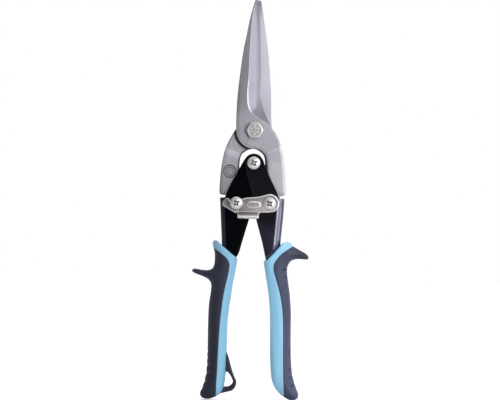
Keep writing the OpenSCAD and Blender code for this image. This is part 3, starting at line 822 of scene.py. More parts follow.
def build_blade(name, front, spine, cut, tail, arch, draft, hub_end, bores):
    """hub_end is where the hub's arc stops, in degrees; bores are pivot and tail radii"""
    outline = loop(spline(spine), arc(BLADE_PIVOT, HUB_RADIUS, 183, hub_end, 38), spline(arch),
                   arc(RIGHT_TAIL, EYE_RADIUS, 180, 360, 30), TAIL_STEP, spline(tail),
                   spline(cut), step=0.7)
    draft = resample(spline(draft), 0.6)
    blunt = gap(outline, resample(spline(cut), 0.7)) > 0.9
    start = int(np.argmax(~blunt))
    rim = np.roll(outline, -start, 0)[np.roll(blunt, -start)]  # all but the cutting edge
    tail_rim = rim[rim[:, 1] < 1.5]

    def rim_depth(points, line):
        """depth in from the rim (from the draft's top edge near the arch), whether clear of
        the arch, and how far out on the draft"""
        x, y = points.T
        away, side = measure(points, draft)
        near = (y < -12.5) & (y > -50) & (x > draft[0, 0])
        past = np.where(near & (side < 0) & (away < 1.6), away, 0)
        away = np.where(near, away, 99)
        return np.where(away < 4, away, gap(points, line)), away > 4, past

    def outer(points):
        x, y = points.T
        z = jaw_face(points) - tail_drop(points)
        depth, clear, past = rim_depth(points, rim)
        width = 0.55 + 0.8 * fall(y, 8, 18)
        if front:
            width = width + 0.6 * fall(y, -10, 4) * clear * (x > 12)
        chamfer = (0.62 * np.maximum(1 - depth / width, 0) * width / 1.25
                   + 0.15 * bell(depth, 0, 0.2))
        if front:  # fine groove inside the rim, round the hub and down the tail
            chamfer = chamfer + (0.16 * bell(depth, 1.2, 0.14) * fall(y, 4, 4) * clear
                                 * fall(x, 3, 4))
        return z - chamfer - 4.9 * np.clip(past / 0.95, 0, 1) ** 0.8

    def rear_inner(points):
        x, y = points.T
        radius = np.hypot(x, y)
        beyond = rise(radius, SEAT_RADIUS, 0.25) * fall(y, -0.9, 0.3)
        z = INNER_Z - beyond * 1.92
        depth, clear, past = rim_depth(points, tail_rim)
        chamfer = 0.6 * np.maximum(1 - depth / 1.2, 0) + 0.15 * bell(depth, 0, 0.2)
        chamfer = chamfer + 0.18 * bell(depth, 1.65, 0.16) * clear * fall(y, -9, 5)
        z = z + beyond * chamfer + beyond * 0.22 * bell(radius - SEAT_RADIUS, 0.25, 0.35)
        z = z + beyond * 0.55 * (1 - np.clip((-12.8 - 0.41 * (19.8 - x) - y) / 4.6, 0, 1))
        z = z + beyond * 2.9 * np.clip(past / 0.6, 0, 1) ** 0.8
        stamp = np.hypot(x - STAMP_AT[0], y - STAMP_AT[1])
        z = z + beyond * (0.30 * fall(stamp, 4.9, 0.8) - 0.20 * bell(stamp, 5.35, 0.3)
                          + 0.12 * bell(stamp, 2.9, 0.2))
        return z + 0.0019 * np.maximum(y - 77, 0) ** 2  # tip of the flat leans back

    def bottom(points):
        z = INNER_Z - tail_drop(points) if front else rear_inner(points)
        return np.minimum(z, outer(points) - 0.25)

    def outer_zone(points):
        x, y = points.T
        away, side = measure(points, RIDGE)
        ground = (side < 0) & (away > 0) & (y > 4)
        slots = np.zeros(len(points), int)
        slots[ground] = GROUND
        slots[ground & (measure(points, GRIND_END)[1] > 0)] = RELIEF
        slots[ground & (y < 12.9)] = RELIEF
        upper, lower = joggle(x)
        if front:
            slots[(y < upper) & (y > lower) & (x > 8)] = JOGGLE
            # painted highlight along the top edge of the joggle
            slots[(np.abs(y - upper) < 0.24) & (x > 9.8)] = EDGE_HIGHLIGHT
        # painted highlight along the crest of the grind
        crest_highlight_width = 0.5 + 0.44 * rise(y, 10, 4) - 0.66 * rise(y, 23, 14)
        slots[(side < 0) & (away < crest_highlight_width) & (y > 5.5) & (y < 88)] = CREST_HIGHLIGHT
        depth, clear, past = rim_depth(points, rim)
        # painted shade: the arch's draft walls take the dark steel
        slots[past > 0.05] = SCALE
        if front:
            hub = clear & (x < 4.5) & (y < 2)
            slots[hub & (depth > 0.12) & (depth < 1.0)] = RIM
            # painted shade in the groove inside the hub's rim
            slots[hub & (depth > 1.0) & (depth < 1.34)] = GROOVE_SHADE
            # painted highlight on the tail's outer chamfer
            edge_highlight_width = 1.05 + 0.9 * fall(y, -11, 5)
            slots[clear & (x > 14) & (y > -46.5) & (y < -11) & (depth < edge_highlight_width)] = EDGE_HIGHLIGHT
            # painted shadow of the bolt head, in the dark steel
            slots[inside(points, HEX_SHADE) & (x < 2)] = SCALE
        return slots

    def inner_zone(points):
        x, y = points.T
        slots = np.zeros(len(points), int)
        slots[y > 1] = FLAT
        if not front:
            radius = np.hypot(x, y)
            # painted shade in the gap between the front hub and the rear blade's seat
            slots[(radius > 12.9) & (radius < 15.1) & (y < 1)] = SCALE
            depth, clear, past = rim_depth(points, rim)
            # painted shade in the groove inside the tail's rim
            slots[clear & (depth > 1.5) & (depth < 1.82) & (y < -12)] = GROOVE_SHADE
            # painted shade: the arch's draft walls take the dark steel
            slots[past > 0.05] = SCALE
            stamp = np.hypot(x - STAMP_AT[0], y - STAMP_AT[1])
            slots[stamp < 4.1] = STAMP_FLOOR
            slots[(stamp > 4.0) & (stamp < 5.0)] = STAMP
            slots[(stamp > 2.65) & (stamp < 3.15)] = STAMP
        return slots

    lines = offsets(RIDGE, 0, -0.2, -0.4, -0.65, -0.94, 0.25) + offsets(GRIND_END, 0, 0.3)
    lines += offsets(draft, 0, 0.14, -0.14, 0.5, -0.42)
    across = np.linspace(3, 24, 20)
    upper, lower = joggle(across)
    lines += [np.stack([across, upper + shift], 1) for shift in (-0.24, 0.0, 0.24)]
    lines.append(np.stack([across, lower], 1))
    if front:
        lines.append(close(HEX_SHADE))
    else:
        lines += [arc(BLADE_PIVOT, radius, -2, -112, 60)
                  for radius in (SEAT_RADIUS, 14.97, 15.03, 15.1, 15.16, 15.4, 15.7)]
        lines += [arc(STAMP_AT, radius, 0, 360, 49)
                  for radius in (2.5, 2.65, 2.9, 3.15, 3.3, 4.0, 4.25, 4.5, 4.75, 4.95, 5.15,
                                 5.35, 5.6, 5.9)]
    holes = [circle(BLADE_PIVOT, bores[0], 40), circle(RIGHT_TAIL, bores[1], 32)]
    verts, faces, slots = plate(
        outline, outer, bottom, grid=1.3, holes=holes, hole_rings=(0.2, 0.6), lines=lines,
        rings=(0.12, 0.3, 0.55, 0.82, 1.0, 1.18, 1.34, 1.5, 1.66, 1.82, 1.95),
        zone=outer_zone, under_zone=inner_zone)
    if not front:  # turned half round about its length
        verts = verts * floats([-1, 1, -1])
    return mesh(name, verts, faces, [FORGED if front else FORGED_REAR] + BLADE_STEELS, slots,
                sharp=24)


front_blade = build_blade("front_blade_forging", True, SPINE_FRONT, CUT_FRONT, TAIL_FRONT,
                          ARCH_FRONT, DRAFT_FRONT, hub_end=262, bores=(4.03, 3.06))
ride(front_blade, "front_jaw", ["front_blade"], "forged_steel")
rear_blade = build_blade("rear_blade_forging", False, SPINE_REAR, CUT_REAR, TAIL_REAR,
                         ARCH_REAR, DRAFT_REAR, hub_end=267, bores=(4.32, 2.66))
ride(rear_blade, "rear_jaw", ["rear_blade"], "forged_steel")

# ------------------------------------------------------------------ grips
# Lines (x, y): the seam between core and overmould, then the outline in four parts.
# Notches: y at the inner end, reach in from the outer edge, depth, lift at the outer edge.
LEFT_GRIP = dict(
    seam=[[-28, -85.2], [-22, -89.5], [-18, -93], [-16.1, -96.6], [-16.1, -100], [-16.9, -105],
          [-18.4, -112], [-19.9, -120], [-21.1, -130], [-22.2, -143], [-22.85, -158],
          [-23.4, -175], [-23.8, -188], [-23.8, -193.2]],
    heel=[[-28, -85.2], [-28.6, -82], [-27.4, -80.2]],
    collar=[[-27.4, -80.2], [-25.5, -80.5], [-22, -83.5], [-16, -88.5], [-11, -92.6],
            [-10.3, -94]],
    inner=[[-10.3, -94], [-11.3, -100], [-13.1, -110], [-14.3, -120], [-15.65, -130],
           [-16.5, -142], [-16.65, -158], [-17.0, -175], [-18.0, -185], [-20.0, -190.4],
           [-23.8, -193.2]],
    outer=[[-23.8, -193.2], [-27.8, -194.9], [-31.4, -195.1], [-34.4, -193.8], [-35.4, -191],
           [-33.35, -185], [-31.5, -177], [-30.75, -165], [-30.7, -145], [-30.45, -128],
           [-29.15, -117], [-29.2, -111.6], [-31.6, -108.2], [-36, -106.1], [-41, -104.3],
           [-43.2, -102.6], [-41.4, -101], [-36, -101.7], [-31, -101.8], [-28, -100],
           [-26.9, -96], [-26.9, -90], [-28, -85.2]],
    notches=[(-166, 2.2, 0.4, 1.2), (-172.3, 3.2, 0.8, 1.9), (-178.2, 3.6, 0.9, 1.9),
             (-184.4, 3.8, 0.9, 1.9)])
RIGHT_GRIP = dict(
    seam=[[29.5, -83.2], [22, -88.5], [18, -93], [15.9, -97], [16, -101.5], [18, -108],
          [19.8, -114], [21.5, -121], [22.9, -130], [23.7, -144], [24.0, -160], [24.45, -176],
          [25.2, -190], [25.3, -192.6]],
    heel=[[29.5, -83.2], [28.4, -81.4], [26, -80.4]],
    collar=[[26, -80.4], [23.5, -80.7], [21, -82.5], [18, -86], [14, -90.5], [10.5, -94],
            [8.7, -94]],
    inner=[[8.7, -94], [9.1, -98], [10.2, -104], [11.55, -112], [12.8, -120], [13.75, -130],
           [14.35, -145], [14.65, -160], [15.35, -174], [16.5, -181], [18.5, -186],
           [21.8, -190], [25.3, -192.6]],
    outer=[[25.3, -192.6], [29, -194.6], [32, -195.0], [34.8, -193.9], [35.95, -190.6],
           [33.7, -184.6], [31.2, -176], [29.9, -163], [29.4, -145], [29.2, -131],
           [28.1, -118], [27.0, -111], [25.9, -103.5], [26.0, -98.4], [28, -94.5],
           [31.4, -92.8], [36, -92.5], [40.2, -92.7], [41.15, -91], [39.4, -88.7],
           [34.6, -86], [29.5, -83.2]],
    notches=[(-100.2, 3.4, 0.8, 0), (-105.7, 2.4, 0.5, 0), (-160.4, 1.9, 0.35, 1.2),
             (-172.6, 2.7, 0.8, 1.9), (-178.6, 2.9, 0.8, 1.9), (-184.6, 3.1, 0.8, 1.9)])
# Dips of the outline between the finger ribs: y, depth
RIB_DIPS = [(-147.4, 0.1), (-151.8, 0.14), (-156.2, 0.17), (-160.6, 0.2), (-165.2, 0.26),
            (-170.4, 0.38), (-176.4, 0.5), (-182.4, 0.5), (-187.2, 0.3)]
GRIP_HALF = 10.95  # half thickness
GRIP_ROUND = 7.3  # depth over which the section rounds up to it
GRIP_POWER = 2.15  # superellipse exponent of the section
GRIP_FOOT = -195.12


def build_grip(tag, sign, blue, dark, seam, heel, collar, inner, outer, notches):
    """sign is -1 on the left; the core and the overmould become two objects"""
    seam, heel, collar, inner, outer = (spline(line, 10)
                                        for line in (seam, heel, collar, inner, outer))
    outer = resample(outer, 0.5)
    heights = outer[:, 1].copy()
    for dip_y, depth in RIB_DIPS:
        outer[:, 0] -= sign * depth * (1 if sign < 0 else 0.35) * bell(heights, dip_y, 1.05)
    outer[:, 1] = np.maximum(heights, GRIP_FOOT)
    heel, collar, inner = resample(heel, 0.6), resample(collar, 0.6), resample(inner, 0.7)
    seam = resample(seam, 0.8)
    outline = loop(heel, collar, inner, outer, step=0.6)
    side = np.vstack([inner, outer, heel])
    core = np.vstack([heel, collar, inner, seam[::-1]])

    def notch_y(depth_in, y, reach, lift):
        return y + lift * (1 - np.clip(depth_in / reach, 0, 1))

    def half(points):
        x, y = points.T
        t = np.clip(gap(points, side) / GRIP_ROUND, 0, 1)
        z = GRIP_HALF * (1 - (1 - t) ** GRIP_POWER) ** (1 / GRIP_POWER)
        # the heel of the collar and the thumb stop are slimmer than the palm
        z = z * (1 - 0.3 * (rise(np.abs(x), 28.5, 10) * rise(y, -118, 8)))
        z = z * (1 - 0.13 * rise(y, -112, 26))
        z = z * (1 - 0.05 * bell(y, -152, 22))
        z = z - round_drop(gap(points, collar), 1.1) * (z > 1.2)
        from_seam = gap(points, seam)
        z = z - 0.34 * bell(from_seam, 0, 0.26) * np.clip(z / 2, 0, 1)
        z = np.where(inside(points, core),
                     z - 0.22 * np.clip(z / 3, 0, 1) * smooth(from_seam / 0.7), z)
        depth_in = gap(points, outer)
        for base_y, reach, depth, lift in notches:
            middle = notch_y(depth_in, base_y, reach, lift)
            end = 0.55 + 0.45 * smooth((depth_in - reach + 1.7) / 0.8)
            z = z - (depth * end * np.exp(-((y - middle) / 0.5) ** 4)
                     * smooth((reach - depth_in) / 0.7) * np.clip(z / 2, 0, 1))
        return np.maximum(z, 0)

    lines = offsets(seam, 0, -0.7, -0.4, -0.2, 0.2, 0.4, 0.7)
    stop_y = -96 if sign > 0 else -112  # the outer edge doubles back above this
    for base_y, reach, depth, lift in notches:
        miss = np.abs(outer[:, 1] - base_y) + 100 * (outer[:, 1] > stop_y) * (base_y < -110)
        edge_x = outer[np.argmin(miss), 0]
        for shift in (-0.8, -0.6, -0.47, -0.3, 0, 0.3, 0.47, 0.6, 0.8):
            across = np.linspace(edge_x - sign * 0.1, edge_x - sign * (reach + 0.5), 12)
            lines.append(np.stack([across, notch_y(np.abs(across - edge_x), base_y + shift,
                                                   reach, lift)], 1))

    for name, material, keep, node, slot in (
            ("_grip_core_skin", blue, lambda spots: inside(spots, core),
             "_grip_core", "blue_plastic"),
            ("_grip_rubber_skin", dark, lambda spots: ~inside(spots, core),
             "_grip_overmould", "dark_rubber")):
        verts, faces, _ = plate(
            outline, half, lambda points: -half(points), grid=1.5, lines=lines, keep=keep,
            rings=(0.04, 0.14, 0.3, 0.55, 0.9, 1.4, 2.0, 2.8, 3.8, 5.0))
        # the crest of each horn is softened
        links = np.array([(face[i], face[(i + 1) % len(face)]) for face in faces
                          for i in range(len(face))])
        flat = verts[:, :2]
        soft = ((gap(flat, side) > 1.0) & (gap(flat, collar) > 1.6) & (gap(flat, seam) > 0.9)
                & (np.abs(verts[:, 0]) > 28.0) & (verts[:, 1] > -114))
        count = np.zeros(len(verts))
        np.add.at(count, links[:, 0], 1)
        for _ in range(14):
            total = np.zeros(len(verts))
            np.add.at(total, links[:, 0], verts[links[:, 1], 2])
            average = total / np.maximum(count, 1)
            verts[soft, 2] = 0.5 * verts[soft, 2] + 0.5 * average[soft]
        middles = centres(verts[:, :2], faces)
        depth_in = gap(middles, outer)
        slots = np.zeros(len(faces), int)
        # the notch floors take the very dark notch rubber: painted shade
        for base_y, reach, depth, lift in notches:
            off_line = np.abs(middles[:, 1] - notch_y(depth_in, base_y, reach, lift))
            slots[(off_line < 0.5) & (depth_in < reach - 0.1)
                  & (depth_in > (reach - 1.5 if lift else 0.2))
                  & (np.abs(middles[:, 0]) > 22)] = 1
        skin = mesh(tag + name, verts, faces, [material, NICK_SHADE], slots, sharp=50, weighted=False)
        ride(skin, tag + "_handle", [tag + node], slot)


build_grip("left", -1, BLUE_LEFT, DARK_LEFT, **LEFT_GRIP)
build_grip("right", 1, BLUE_RIGHT_PAINTED_LIGHT, DARK_RIGHT_PAINTED_LIGHT, **RIGHT_GRIP)

# ------------------------------------------------------------------ lanyard loop
LANYARD_OUTER = [[-16.6, -161], [-15, -165.4], [-13.7, -170], [-12.2, -174.9], [-10.7, -178.8],
                 [-9.5, -181.3], [-9.2, -183.2], [-9.8, -185.7], [-11, -187.5],
                 [-12.3, -188.7], [-15.8, -189.7], [-20.4, -190.9]]
LANYARD_ROOT = [[-20.4, -190.9], [-20.8, -178], [-19.4, -166], [-16.6, -161]]
LANYARD_EYE = [[-17.8, -175.4], [-15.9, -175.4], [-14, -177.2], [-12.5, -180], [-11.8, -182],
               [-12.2, -183.5], [-13.4, -184.9], [-14.9, -185.7], [-16.5, -186],
               [-18.7, -185.9], [-19, -184.6], [-18.3, -178]]
LANYARD_HALF = 3.9  # half thickness
LANYARD_RINGS = (0.05, 0.18, 0.4, 0.75, 1.2)


def build_lanyard_loop():
    outline = loop(spline(LANYARD_OUTER), LANYARD_ROOT, step=0.5)
    eye = resample(spline(LANYARD_EYE, 8, True), 0.4, True)

    def half(points):
        depth = np.minimum(gap(points, outline, True), gap(points, eye, True))
        return LANYARD_HALF - round_drop(depth, 1.3) * 1.25

    verts, faces, _ = plate(outline, half, lambda points: -half(points), grid=0.8, holes=[eye],
                            rings=LANYARD_RINGS, hole_rings=LANYARD_RINGS)
    skin = mesh("lanyard_loop_skin", verts, faces, [DARK_LEFT], None, sharp=50, weighted=False)
    ride(skin, "left_handle", ["lanyard_loop"], "dark_rubber")


build_lanyard_loop()

# ------------------------------------------------------------------ folded handles
# Lines (x, y), drawn for the right side: free inner edges of the wide and slim flanges,
# the outer web, and the edge from the web's top to the pivot boss
WIDE = [[-6.35, -25.4], [-4.9, -32.5], [-1.6, -44], [1, -55], [2.5, -64], [5, -73], [7.5, -82],
        [10.0, -93], [12.3, -104], [15.4, -120], [17.4, -140], [18.2, -160], [18.6, -178]]
WIDE_LEFT = WIDE[:7] + [[9.4, -89], [11.8, -93.2], [13.3, -97.5], [15.4, -107], [17.2, -120],
                        [18.8, -140], [19.4, -160], [19.8, -178]]
SLIM = [[-6.35, -25.4], [-3.4, -33], [0.4, -45], [3, -56], [4.3, -64], [7, -75], [9, -84],
        [11.3, -92.5], [13, -104], [16.4, -120], [18.4, -140], [19.2, -160], [19.6, -178]]
SLIM_LEFT = SLIM[:7] + [[11.4, -92.5], [13.4, -98], [15.6, -107], [17.6, -120], [19.1, -140],
                        [19.8, -160], [20.2, -178]]
WEB_LINE_RIGHT = [[26.4, -178], [26.3, -160], [25.8, -140], [24.3, -120], [22.4, -105],
                  [21, -94], [20.5, -84], [21.5, -70], [22.3, -60], [22.8, -49]]
WEB_LINE_LEFT = [[27.4, -178], [27.3, -160], [26.8, -140], [25.3, -120], [23.4, -105],
                 [22.4, -94], [21.9, -84], [22.7, -70], [23.3, -60], [24, -49]]
SHOULDER_RIGHT = [[18.9, -49], [16, -42], [12.5, -35], [8.4, -25.8], [6.9, -21.9],
                  [5.75, -19.9]]
SHOULDER_LEFT = [[20.5, -49], [17, -40.5], [13, -33], [9.4, -25.9], [7.3, -22.0], [5.9, -20.0]]
# Where the right handle's front flange steps back to enter the grip
NECK = resample(spline([[18.0, -70], [17.9, -75], [17.6, -80], [17.0, -83.4], [15.3, -86.9],
                        [12.3, -90.2], [10.0, -92.2], [7.0, -94.6], [3.2, -97.4]]), 0.6)
SHEET = 2.0
REAR_FOLD = 2.8  # outer radius of the rear fold
WEB_TOP, WEB_FOOT = -49, -178
SHEET_EDGE = 0.35  # rounding of the free edges


def neck_sink(points):
    x, y = points.T
    away, side = measure(points, NECK)
    below = -(y + 78.6 + 1.476 * (20.6 - x))
    amount = (smooth(np.where(side > 0, away, 0) / 1.9)
              * smooth(np.maximum(below, (-79 - y) * 0.6) / 3) * rise(x, 4, 2))
    return 2.0 * amount * fall(y, -78, 3)


def neck_zone(points):
    away, side = measure(points, NECK)
    over = side * away
    return ((over > -0.3) & (over < 1.25) & (points[:, 1] < -78)).astype(int)


def no_sink(points):
    return np.zeros(len(points))


def build_channel(name, front_z, rear_z, front_line, rear_line, web_line, shoulder, pivot_bore,
                  tail_bore, fold_height, fold_widths, mirror, materials):
    """folded channel; front_z and rear_z are the rear faces of its flanges, fold_widths the
    width of the front fold at the top and further down"""
    web_line = resample(spline(web_line), 1.2)
    stations = np.concatenate([[-49.0, -49.04, -49.12, -49.22, -49.35],
                               np.arange(-50.2, WEB_FOOT, -1.25), [WEB_FOOT]])
    web_x = np.interp(stations, web_line[:, 1], web_line[:, 0])
    front_fold = fold_widths[0] + (fold_widths[1] - fold_widths[0]) * smooth((-50 - stations) / 8)
    rear_fold = np.full(len(stations), REAR_FOLD)
    front_sink = no_sink if mirror else neck_sink
    parts = []

    def add_flange(base_z, inner, fold, sink, neck):
        bend = np.stack([web_x - fold, stations], 1)
        corner = [min(shoulder[0][0], web_x[0] - fold[0] - 0.1), WEB_TOP]
        (x0, y0), (x1, y1) = shoulder[-1], inner[0]
        start = math.degrees(math.atan2(y0 - HANDLE_PIVOT[1], x0))
        end = 180 + math.degrees(math.atan2(HANDLE_PIVOT[1] - y1, -x1))
        radii = np.linspace(math.hypot(x0, y0 - HANDLE_PIVOT[1]),
                            math.hypot(x1, y1 - HANDLE_PIVOT[1]), 40)
        centre = floats(HANDLE_PIVOT)
        boss = centre + (arc(HANDLE_PIVOT, 1, start, end, 40) - centre) * radii[:, None]
        free = join(resample([[web_x[0] - fold[0], WEB_TOP], corner], 0.5),
                    resample(spline([corner] + shoulder[1:]), 0.7), resample(boss, 0.7),
                    resample(spline(inner), 0.8), [inner[-1], [web_x[-1] - fold[-1], WEB_FOOT]])
        outline = join(free, bend[::-1])
        if signed_area(outline) < 0:
            outline = outline[::-1]

        def drop(points):
            return round_drop(gap(points, free), SHEET_EDGE)

        def on_bend(first, second):
            return all(abs(x - np.interp(-y, -stations, bend[:, 0])) < 0.01 and y < -48.99
                       for x, y in (first, second))

        lines = offsets(NECK, -0.3, 0, 0.25, 0.5, 0.75, 1.0, 1.25, 1.6, 1.9) if neck else []
        parts.append(plate(
            outline, lambda points: base_z + SHEET - drop(points) - sink(points),
            lambda points: base_z + drop(points) - sink(points), grid=2.2,
            holes=[circle(HANDLE_PIVOT, pivot_bore, 36), circle(RIGHT_TAIL, tail_bore, 32)],
            rings=(0.03, 0.12, 0.24, 0.36), hole_rings=(0.2,), skip=on_bend, lines=lines,
            zone=neck_zone if neck else None))

    add_flange(front_z, front_line, front_fold, front_sink, not mirror)
    add_flange(rear_z, rear_line, rear_fold, no_sink, False)

    # the web and its two folds, one section per station
    front_face = front_z + SHEET
    angles = np.radians(np.linspace(90, 0, 13))
    verts = []
    for y, x, width in zip(stations, web_x, front_fold):
        spots = floats([[x + width * math.cos(a) - width, y] for a in angles])
        sinks = [float(depth) * math.sin(a) ** 0.5
                 for depth, a in zip(front_sink(spots), angles)]

        def section(inset):
            line = [((width - inset) * math.cos(a) - width,
                     front_face - fold_height + (fold_height - inset) * math.sin(a) - sunk)
                    for a, sunk in zip(angles, sinks)]
            line += [(-inset, z) for z in np.linspace(front_face - fold_height,
                                                      rear_z + REAR_FOLD, 6)[1:-1]]
            line += [((REAR_FOLD - inset) * math.cos(a) - REAR_FOLD,
                      rear_z + REAR_FOLD - (REAR_FOLD - inset) * math.sin(a))
                     for a in angles[::-1]]
            return floats(line)

        outside, within = section(0), section(SHEET)
        outward = (outside - within) / SHEET
        inset = float(round_drop(np.array([-49.0 - y]), SHEET_EDGE)[0])
        for points, shift in ((outside, -inset), (within, inset)):
            verts += [(x + p[0] + n[0] * shift, y, p[1] + n[1] * shift)
                      for p, n in zip(points, outward)]
    count = len(outside)
    faces, slots = [], []
    for i in range(len(stations) - 1):
        a, b = i * 2 * count, (i + 1) * 2 * count
        for j in range(count - 1):
            faces.append([b + j, b + j + 1, a + j + 1, a + j])
            slots.append(1 if j <= count - 4 else 0)
            k = count + j
            faces.append([a + k + 1, b + k + 1, b + k, a + k])
            slots.append(0)
    for i in (0, len(stations) - 1):
        a = i * 2 * count
        for j in range(count - 1):
            cap = [a + j, a + count + j, a + count + j + 1, a + j + 1]
            faces.append(cap[::-1] if i == 0 else cap)
            slots.append(0)
    parts.append((floats(verts), faces, slots))

    verts, faces, slots = merge(parts)
    if mirror:
        verts = verts * floats([-1, 1, 1])
        faces = [face[::-1] for face in faces]
    channel = mesh(name, verts, faces, materials, slots, sharp=38)
    bm = bmesh.new()
    bm.from_mesh(channel.data)
    bmesh.ops.remove_doubles(bm, verts=bm.verts, dist=0.00002)
    bmesh.ops.holes_fill(bm, edges=[edge for edge in bm.edges if edge.is_boundary], sides=12)
    bmesh.ops.recalc_face_normals(bm, faces=bm.faces)
    bm.to_mesh(channel.data)
    bm.free()
    channel.data.set_sharp_from_angle(angle=math.radians(38))
    return channel


right_channel = build_channel(
    "right_handle_channel", front_z=4.15, rear_z=-4.05, front_line=WIDE, rear_line=SLIM,
    web_line=WEB_LINE_RIGHT, shoulder=SHOULDER_RIGHT, pivot_bore=3.02, tail_bore=3.02,
    fold_height=4.2, fold_widths=(3.8, 5.4), mirror=False, materials=[BLACK_RIGHT_PAINTED_LIGHT, WEB_RIGHT_PAINTED_SHEEN])
ride(right_channel, "right_handle", ["right_handle_frame"], "black_steel")
left_channel = build_channel(
    "left_handle_channel", front_z=2.05, rear_z=-6.15, front_line=SLIM_LEFT,
    rear_line=WIDE_LEFT, web_line=WEB_LINE_LEFT, shoulder=SHOULDER_LEFT, pivot_bore=3.06,
    tail_bore=2.62, fold_height=3.0, fold_widths=(3.0, 3.0), mirror=True,
    materials=[BLACK, WEB_LEFT_PAINTED_SHEEN])
ride(left_channel, "left_handle", ["left_handle_frame"], "black_steel")

# ------------------------------------------------------------------ latch
LATCH_SLOT = 3.45  # half width of the slot for the left tail screw
LATCH_FRONT, LATCH_REAR = 7.9, 6.5
# Outline (x, y): hook left of the slot, then the body, then the tab and the way back
HOOK = [[-22.3, -54], [-21.9, -52.3], [-20.7, -50.6], [-18.9, -49.35]]
BODY = [[-7.2, -49.4], [-4, -48.7], [2, -48.2], [6, -47.4], [10, -46.2], [13, -45.8],
        [16, -47], [18.3, -49.8], [19, -53], [18.3, -56], [16, -58.3], [12, -59.2],
        [5.6, -59.5]]
TAB = [
    [[5.6, -59.5], [4.6, -60.2], [4.4, -63.8]],
    spline([[4.4, -63.8], [4.0, -64.4], [3.2, -64.6]]),
    [[3.2, -64.6], [-10.0, -64.6]],
    spline([[-10.0, -64.6], [-10.9, -64.4], [-11.25, -63.7]]),
    [[-11.25, -63.7], [-11.25, -59.9]],
    spline([[-11.25, -59.9], [-11.4, -59.35], [-11.7, -59.35], [-11.85, -59.8]]),
    [[-11.85, -59.8], [-12.0, -60.3]],
    spline([[-12.0, -60.3], [-12.6, -60.2], [-17.5, -57.35], [-21.3, -55.2], [-22.3, -54]])]
# Raised oval on the front: centre, half length of its straight part, radius, end centres
OVAL_AT, OVAL_REACH, OVAL_RADIUS = (0.7, -53.7), 2.6, 2.0
OVAL_LEFT, OVAL_RIGHT = (-1.9, -53.7), (3.3, -53.7)
# Forward bend of the tab
BEND_Y, BEND_Z, BEND_RADIUS, BEND_ANGLE = -58.9, 7.2, 1.6, math.radians(34)


def turn(point, centre, degrees):
    """clockwise"""
    cos, sin = math.cos(math.radians(degrees)), math.sin(math.radians(degrees))
    x, y = point[0] - centre[0], point[1] - centre[1]
    return x * cos + y * sin + centre[0], y * cos - x * sin + centre[1]


def latch_outline():
    # path of the left tail screw past the latch as the handles open
    path = floats([turn(turn(LEFT_TAIL, HANDLE_PIVOT, angle), RIGHT_TAIL, 1.5 * angle)
                   for angle in np.linspace(0, 9, 25)])
    left_wall, right_wall = offsets(path, LATCH_SLOT, -LATCH_SLOT)
    start, end = (math.degrees(math.atan2(*(wall[0] - floats(LEFT_TAIL))[::-1])) % 360
                  for wall in (left_wall, right_wall))
    floor_arc = [(LEFT_TAIL[0] + LATCH_SLOT * math.cos(t), LEFT_TAIL[1] + LATCH_SLOT * math.sin(t))
                 for t in np.radians(np.linspace(start, end + 360, 24))]
    left_wall = left_wall[left_wall[:, 1] < -49.6]
    right_wall = right_wall[right_wall[:, 1] < -50.2]
    return loop(spline(HOOK + [list(left_wall[-1])]), left_wall[::-1], floor_arc, right_wall,
                spline([list(right_wall[-1])] + BODY), *TAB, step=0.45)


